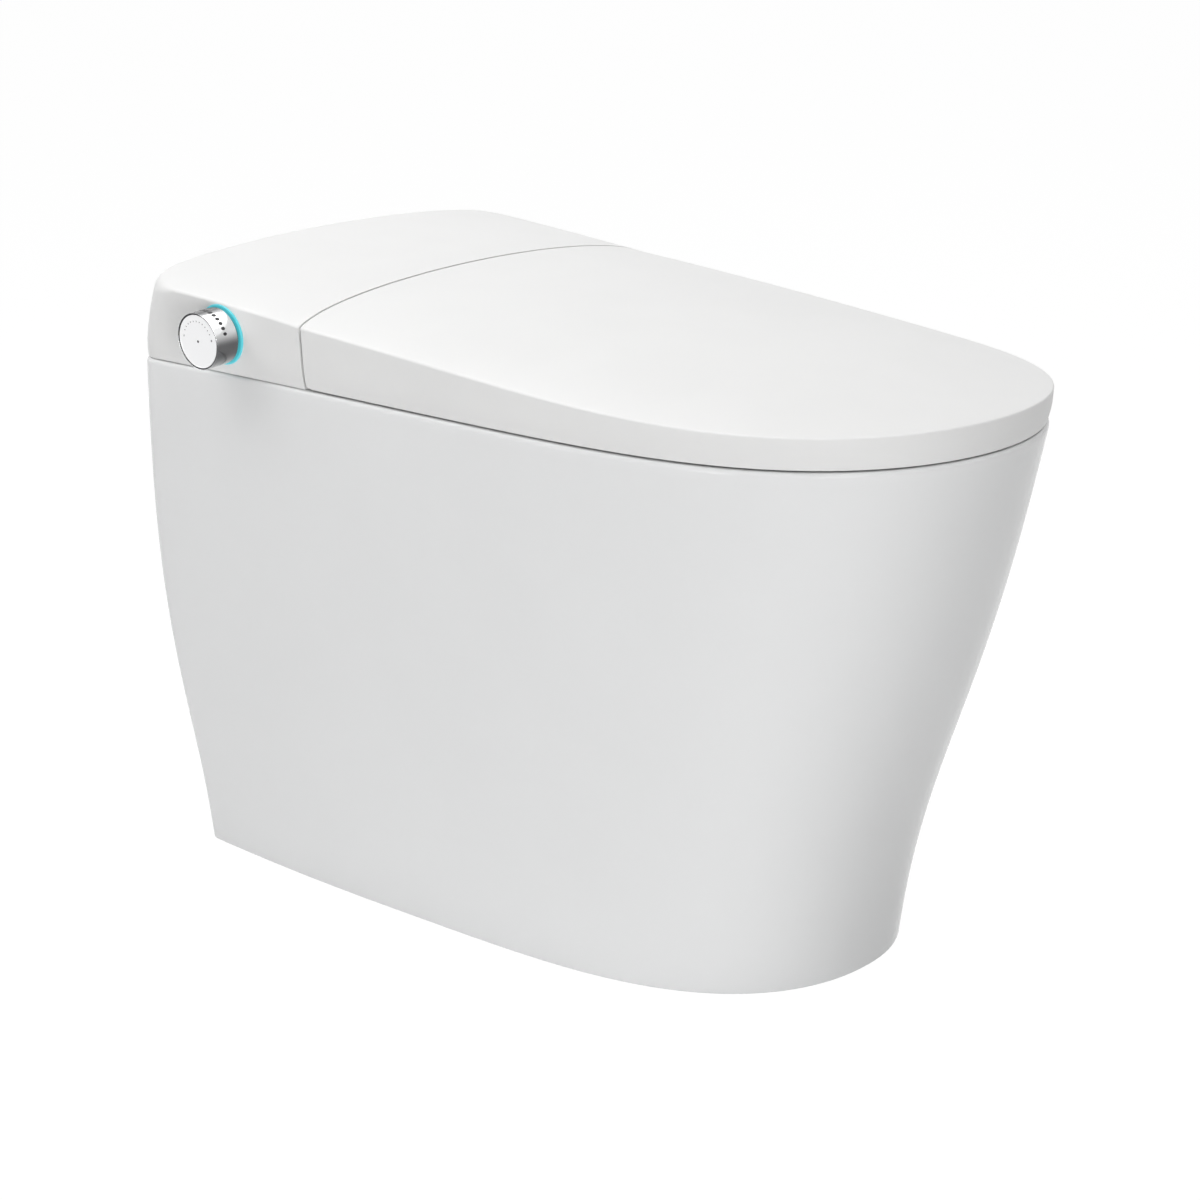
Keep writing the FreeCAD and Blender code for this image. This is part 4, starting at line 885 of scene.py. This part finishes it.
# %% Dial rings
DIAL_R, DIAL_DEEP, DIAL_RIM, DIAL_LIFT, DIAL_WEB = 0.0225, 0.0215, 0.0005, 0.0005, 0.003
LENS_WIDE, LENS_SINK, LENS_ROUND = 0.0045, 0.0020, 0.0008
BOSS_R, STEM_R, POCKET, RING_ROUND = 0.0096, 0.006, 0.0062, 0.0006
BASE = RING_OUT + DIAL_LIFT
TOP = BASE + DIAL_DEEP
DIAL_STEPS = 160


def about_dial(profile):
    """Rings of a profile turned about the dial's axis."""
    return [turned(profile, DIAL_AT, DIAL_OUT, DIAL_STEPS)]


lens_in, lens_out = RING_R - LENS_WIDE, RING_OUT - LENS_SINK
lens_profile = rounded([(lens_in, -RING_IN), (RING_R, -RING_IN), (RING_R, lens_out), (lens_in, lens_out),
                        (lens_in, -RING_IN)], LENS_ROUND)
dress(skin("light_lens", about_dial(lens_profile[:-1]), wrap=True), "base", "cyan_light", "light_ring")

bezel = DIAL_R - DIAL_RIM
floor_at = TOP - POCKET
hub_at = floor_at - DIAL_WEB
ring_profile = rounded([(0, floor_at), (bezel, floor_at), (bezel, TOP), (DIAL_R, TOP), (DIAL_R, BASE),
                        (bezel, BASE), (bezel, hub_at), (BOSS_R, hub_at), (BOSS_R, BASE), (STEM_R, BASE),
                        (STEM_R, hub_at), (0, hub_at)], RING_ROUND)
dress(skin("dial_chrome", about_dial(ring_profile)), "dial", "chrome", "dial_ring")

# %% [markdown]
# The face inside the chromed ring is a push button with a fine raised lip, and its middle is dished by a
# hair. A thin dark seal fills the gap round it, and turns with the ring while the face is pressed.

# %% Dial face
FACE_THICK, FACE_SINK, FACE_FIT = 0.004, 0.0003, 0.0010
FACE_DISH, FACE_LIP, FACE_SLOPE, FACE_ROUND = 0.0002, 0.0005, 1.3, 0.0003
SEAL_GAP, SEAL_SINK, SEAL_DEEP = 0.00012, 0.0005, 0.003
face_r, face_top = bezel - FACE_FIT, TOP - FACE_SINK
face_edge = rounded([(face_r, face_top - FACE_THICK), (face_r, face_top), (face_r - FACE_LIP, face_top),
                     (face_r - FACE_LIP * FACE_SLOPE, face_top - FACE_DISH), (0, face_top - FACE_DISH)],
                    FACE_ROUND)
face_profile = np.concatenate([[(0, face_top - FACE_THICK)], face_edge])
seal_in, seal_out, seal_top = face_r + SEAL_GAP, bezel - SEAL_GAP / 2, TOP - SEAL_SINK
seal_line = [(seal_in, seal_top - SEAL_DEEP), (seal_out, seal_top - SEAL_DEEP), (seal_out, seal_top),
             (seal_in, seal_top)]
dress(skin("dial_seal", about_dial(seal_line), wrap=True), "dial", "black_rubber")
dress(skin("dial_button", about_dial(face_profile)), "dial_button", "silver_face", "dial_face")

# %% [markdown]
# Print lies a hair above the surface it is on. Each mark is a tiny pillow, a stack of rings that close
# in to its middle. A row of eight dots that shrink as they come down is bent round the ring.

# %% Dial dots
FRONTWARD = np.cross((0, 0, 1), DIAL_OUT)
FRONTWARD /= np.linalg.norm(FRONTWARD)
UP_FACE = np.cross(DIAL_OUT, FRONTWARD)
PROUD, DISC_SHARES, DISC_LIFTS = 0.00006, (0.0, 1.0, 0.96, 0.5, 0.0), (-1, -1, 1, 1, 1)
DOTS, DOT_FIRST, DOT_LAST, DOT_STEPS = 8, math.radians(97), math.radians(18), 20
DOT_BIG, DOT_SMALL, DOT_EASE, DOT_AT, DOT_STRETCH = 0.0020, 0.0014, 0.8, 0.46, 1.3


def disc(radius, steps):
    """Rows of (across, along, lift) points of a thin round pillow: rings that shrink to its middle."""
    angle = np.linspace(0, 2 * np.pi, steps, endpoint=False)
    across, along = radius * np.cos(angle), radius * np.sin(angle)
    rings = [np.stack([r * across, r * along, np.full(steps, PROUD * h)], 1)
             for r, h in zip(DISC_SHARES, DISC_LIFTS)]
    return np.array(rings)


dots = []
for share in np.arange(DOTS) / (DOTS - 1):
    mark = disc(DOT_BIG + (DOT_SMALL - DOT_BIG) * share ** DOT_EASE, DOT_STEPS)
    around = DOT_FIRST + (DOT_LAST - DOT_FIRST) * share + mark[..., 0] / DIAL_R
    ring = np.cos(around)[..., None] * FRONTWARD + np.sin(around)[..., None] * UP_FACE
    depth = BASE + DIAL_DEEP * (1 - DOT_AT) + mark[..., 1] * DOT_STRETCH
    dots.append(DIAL_AT + ring * (DIAL_R + mark[..., 2])[..., None] + depth[..., None] * DIAL_OUT)
dress(skin("dial_dots", dots), "dial", "dark_plastic", finish=INK)

# %% [markdown]
# On the face an arc of ticks runs over the top, between a minus and a plus sign, round a dot in the
# middle. Each is the same pillow, stretched and laid flat at a radius and an angle.

# %% Face marks
TICKS, TICK_SPAN, TICK_R, TICK_LONG, TICK_WIDE = 11, math.radians(62), 0.0160, 0.0013, 0.00064
SIGN_SPAN, SIGN_LONG, MIDDLE_DOT, MARK_STEPS = math.radians(80), 0.0021, 0.0022, 12


def bar(angle, long, wide, radius, spin=0.0):
    """Thin flat pillow on the face: a stretched disc at a radius, turned to point at the middle."""
    mark = disc(1.0, MARK_STEPS)
    u, v = mark[..., 0] * long / 2, mark[..., 1] * wide / 2
    u, v = u * math.cos(spin) - v * math.sin(spin), u * math.sin(spin) + v * math.cos(spin)
    out = math.cos(angle) * UP_FACE + math.sin(angle) * FRONTWARD
    across = math.cos(angle) * FRONTWARD - math.sin(angle) * UP_FACE
    flat = (radius + u)[..., None] * out + v[..., None] * across
    return DIAL_AT + flat + (face_top - FACE_DISH + mark[..., 2])[..., None] * DIAL_OUT


marks = [bar(TICK_SPAN * (2 * i / (TICKS - 1) - 1), TICK_LONG, TICK_WIDE, TICK_R) for i in range(TICKS)]
marks += [bar(SIGN_SPAN * side, SIGN_LONG, TICK_WIDE, TICK_R, math.pi / 2) for side in (-1, 1)]
marks += [bar(SIGN_SPAN, SIGN_LONG, TICK_WIDE, TICK_R), bar(0, MIDDLE_DOT, MIDDLE_DOT, 0)]
dress(skin("dial_marks", marks), "dial_button", "dark_plastic", finish=INK)

# %% [markdown]
# The rest stops are soft rubber buttons: four under the seat and four under the lid. Each is a short
# dome, a rounded profile turned about the vertical.

# %% Rest stops
BUMPER_R, BUMPER_ROUND, LINER, BUMPER_STEPS = 0.008, 0.0025, 0.0025, 48
for name, body in (("seat_bumpers", "seat"), ("lid_bumpers", "lid")):
    low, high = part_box(name)
    spots = [(x, y) for x in (low.x + BUMPER_R, high.x - BUMPER_R)
             for y in (low.y + BUMPER_R, high.y - BUMPER_R)]
    buttons = []
    for x, y in spots:
        top = high.z if body == "seat" else float(crown(x, y)) - LID_WALL - LINER
        line = rounded([(0, low.z), (BUMPER_R, low.z), (BUMPER_R, top), (0, top)], BUMPER_ROUND)
        buttons.append(turned(line, (x, y, 0), (0, 0, 1), BUMPER_STEPS))
    dress(skin(name + "_soft", buttons), body, "white_rubber", name)

# %% [markdown]
# The water inlet is a brass stub with a real thread: its radius rises and falls with height less the
# turn about its axis, which makes a helix. The gland beside it has the ribs that a hand grips.

# %% Back connections
INLET_R, INLET_BORE, GLAND_R, GLAND_BORE = 0.0104, 0.0062, 0.009, 0.004
FLANGE_R, FLANGE, FLANGE_EDGE, END_EDGE = 0.015, 0.005, 0.0006, 0.0008
PITCH, THREAD, THREAD_END = 0.0018, 0.0008, 0.020
RIBS, RIB_DEEP, RIB_FADE, RIB_END = 24, 0.0007, 0.002, 0.018
STUB_ROWS, STUB_STEPS = 120, 96


def stub(node, radius, bore, shape):
    """Turned stub with a flange; shape(height, angle) says how deep its outer part is cut."""
    low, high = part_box(node)
    centre = np.array(((low.x + high.x) / 2, low.y, (low.z + high.z) / 2))
    long = high.y - low.y
    tall = np.linspace(FLANGE, long, STUB_ROWS)
    head = [(bore, 0), (FLANGE_R - FLANGE_EDGE, 0), (FLANGE_R, FLANGE_EDGE), (FLANGE_R, FLANGE - FLANGE_EDGE),
            (FLANGE_R - FLANGE_EDGE, FLANGE)]
    shank = np.stack([np.full(STUB_ROWS, radius), tall], 1)
    profile = np.concatenate([head, shank, [(radius - END_EDGE, long), (bore, long)]])
    spread = turned(profile, centre, (0, 1, 0), STUB_STEPS) - centre
    angle = np.linspace(0, 2 * np.pi, STUB_STEPS, endpoint=False)
    grow = np.ones(spread.shape[:2])
    grow[len(head):len(head) + STUB_ROWS] = (radius - shape(tall[:, None], angle[None])) / radius
    spread[..., 0] *= grow
    spread[..., 2] *= grow
    return centre + spread


def fade(height, run, end):
    """Share of a cut that rises from the flange over a run and falls to its end."""
    return np.clip((height - FLANGE) / run, 0, 1) * np.clip((end - height) / run, 0, 1)


def thread(height, angle):
    """Depth of a helical groove, (1 + cos(2 pi height / pitch - angle)) / 2, faded at the ends."""
    return THREAD * fade(height, PITCH, THREAD_END) * (0.5 + 0.5 * np.cos(2 * np.pi * height / PITCH - angle))


def grip(height, angle):
    """Depth of the ribs along the gland, (1 + cos(ribs angle)) / 2, faded at the ends."""
    return RIB_DEEP * fade(height, RIB_FADE, RIB_END) * (0.5 + 0.5 * np.cos(RIBS * angle))


inlet = skin("inlet_thread", [stub("inlet_port", INLET_R, INLET_BORE, thread)], wrap=True)
gland = skin("gland_grip", [stub("cord_gland", GLAND_R, GLAND_BORE, grip)], wrap=True)
dress(inlet, "base", "brass", "inlet_port")
dress(gland, "base", "black_rubber", "cord_gland")

# %% [markdown]
# The room is a white sweep. The floor and the world look white to the camera, to mirrors and through
# glass, but give little light themselves, so white pieces keep their shading.

# %% Floor and world
scene = bpy.context.scene
scene.view_settings.view_transform = "Standard"
WHITE = (1, 1, 1, 1)
FLOOR_SIZE, FLOOR_DROP = 8.0, 0.0004
PAPER, PAPER_GLOW, PAPER_SHOWN, AMBIENT = (0.86, 0.86, 0.86, 1), 1.05, 0.94, 0.03
sweep = np.array([[[-1, -1, 0], [1, -1, 0], [1, 1, 0], [-1, 1, 0]]], float) * FLOOR_SIZE
ground = skin("floor", [np.concatenate([sweep, sweep * 0]) - (0, 0, FLOOR_DROP)])
paper = Finish("white_sweep")
paper.set(Base_Color=PAPER, Roughness=0.9, Specular_IOR_Level=0.0)
glow = paper.node("ShaderNodeEmission", None, {"Color": WHITE, "Strength": PAPER_GLOW})
shown = paper.node("ShaderNodeMixShader", None, {0: paper.plain_view() * PAPER_SHOWN,
                                                 1: Wire(paper, paper.shader.outputs[0]), 2: glow})
paper.feed(paper.tree.nodes["Material Output"], {0: shown})
ground.data.materials.append(paper.material)

scene.world = bpy.data.worlds.new("white_room")
scene.world.use_nodes = True
room = Graph(scene.world.node_tree)
dim = room.tree.nodes["Background"]
room.feed(dim, {0: WHITE, 1: AMBIENT})
bright = room.node("ShaderNodeBackground", None, {0: WHITE, 1: 1.0})
lit = room.node("ShaderNodeMixShader", None, {0: room.plain_view(), 1: Wire(room, dim.outputs[0]), 2: bright})
room.feed(room.tree.nodes["World Output"], {0: lit})
print("floor", FLOOR_SIZE, "ambient", AMBIENT)

# %% [markdown]
# The light comes from softboxes, as in a product studio. Three hang overhead, one stands high behind,
# one in front on the left and one on the left. Nothing stands on the right, so that side falls off.
# Each row gives a lamp's place, what it is aimed at, its size and its power.

# %% Lamps
STEEP = 0.99
LAMPS = {
    "overhead": ((0.1, -0.1, 2.4), (0, -0.05, 0.3), 2.6, 21.8),
    "overhead_rear": ((-0.5, 0.7, 2.2), (0, 0, 0.4), 1.4, 13.4),
    "overhead_front": ((-0.3, -1.3, 2.0), (0, -0.2, 0.3), 0.7, 7.8),
    "rear_high": ((-0.9, 1.6, 2.0), (0, 0, 0.4), 1.2, 13.0),
    "front_left": ((-1.7, -2.55, 0.35), (0, 0, 0.2), 0.9, 27.0),
    "left": ((-2.9, -0.2, 0.35), (0, 0, 0.2), 0.9, 17.3),
}
for name, (place, target, size, power) in LAMPS.items():
    lamp = bpy.data.lights.new(name, "AREA")
    lamp.shape, lamp.size, lamp.energy = "SQUARE", size, power
    held = bpy.data.objects.new(name, lamp)
    scene.collection.objects.link(held)
    aim = np.array(target, float) - np.array(place, float)
    aim /= np.linalg.norm(aim)
    side = np.cross(aim, (0, 0, 1) if abs(aim[2]) < STEEP else (0, 1, 0))
    side /= np.linalg.norm(side)
    stand = np.eye(4)
    stand[:3, 0], stand[:3, 1], stand[:3, 2], stand[:3, 3] = side, np.cross(side, aim), -aim, place
    held.matrix_world = Matrix(stand.tolist())
print("lamps", len(LAMPS))
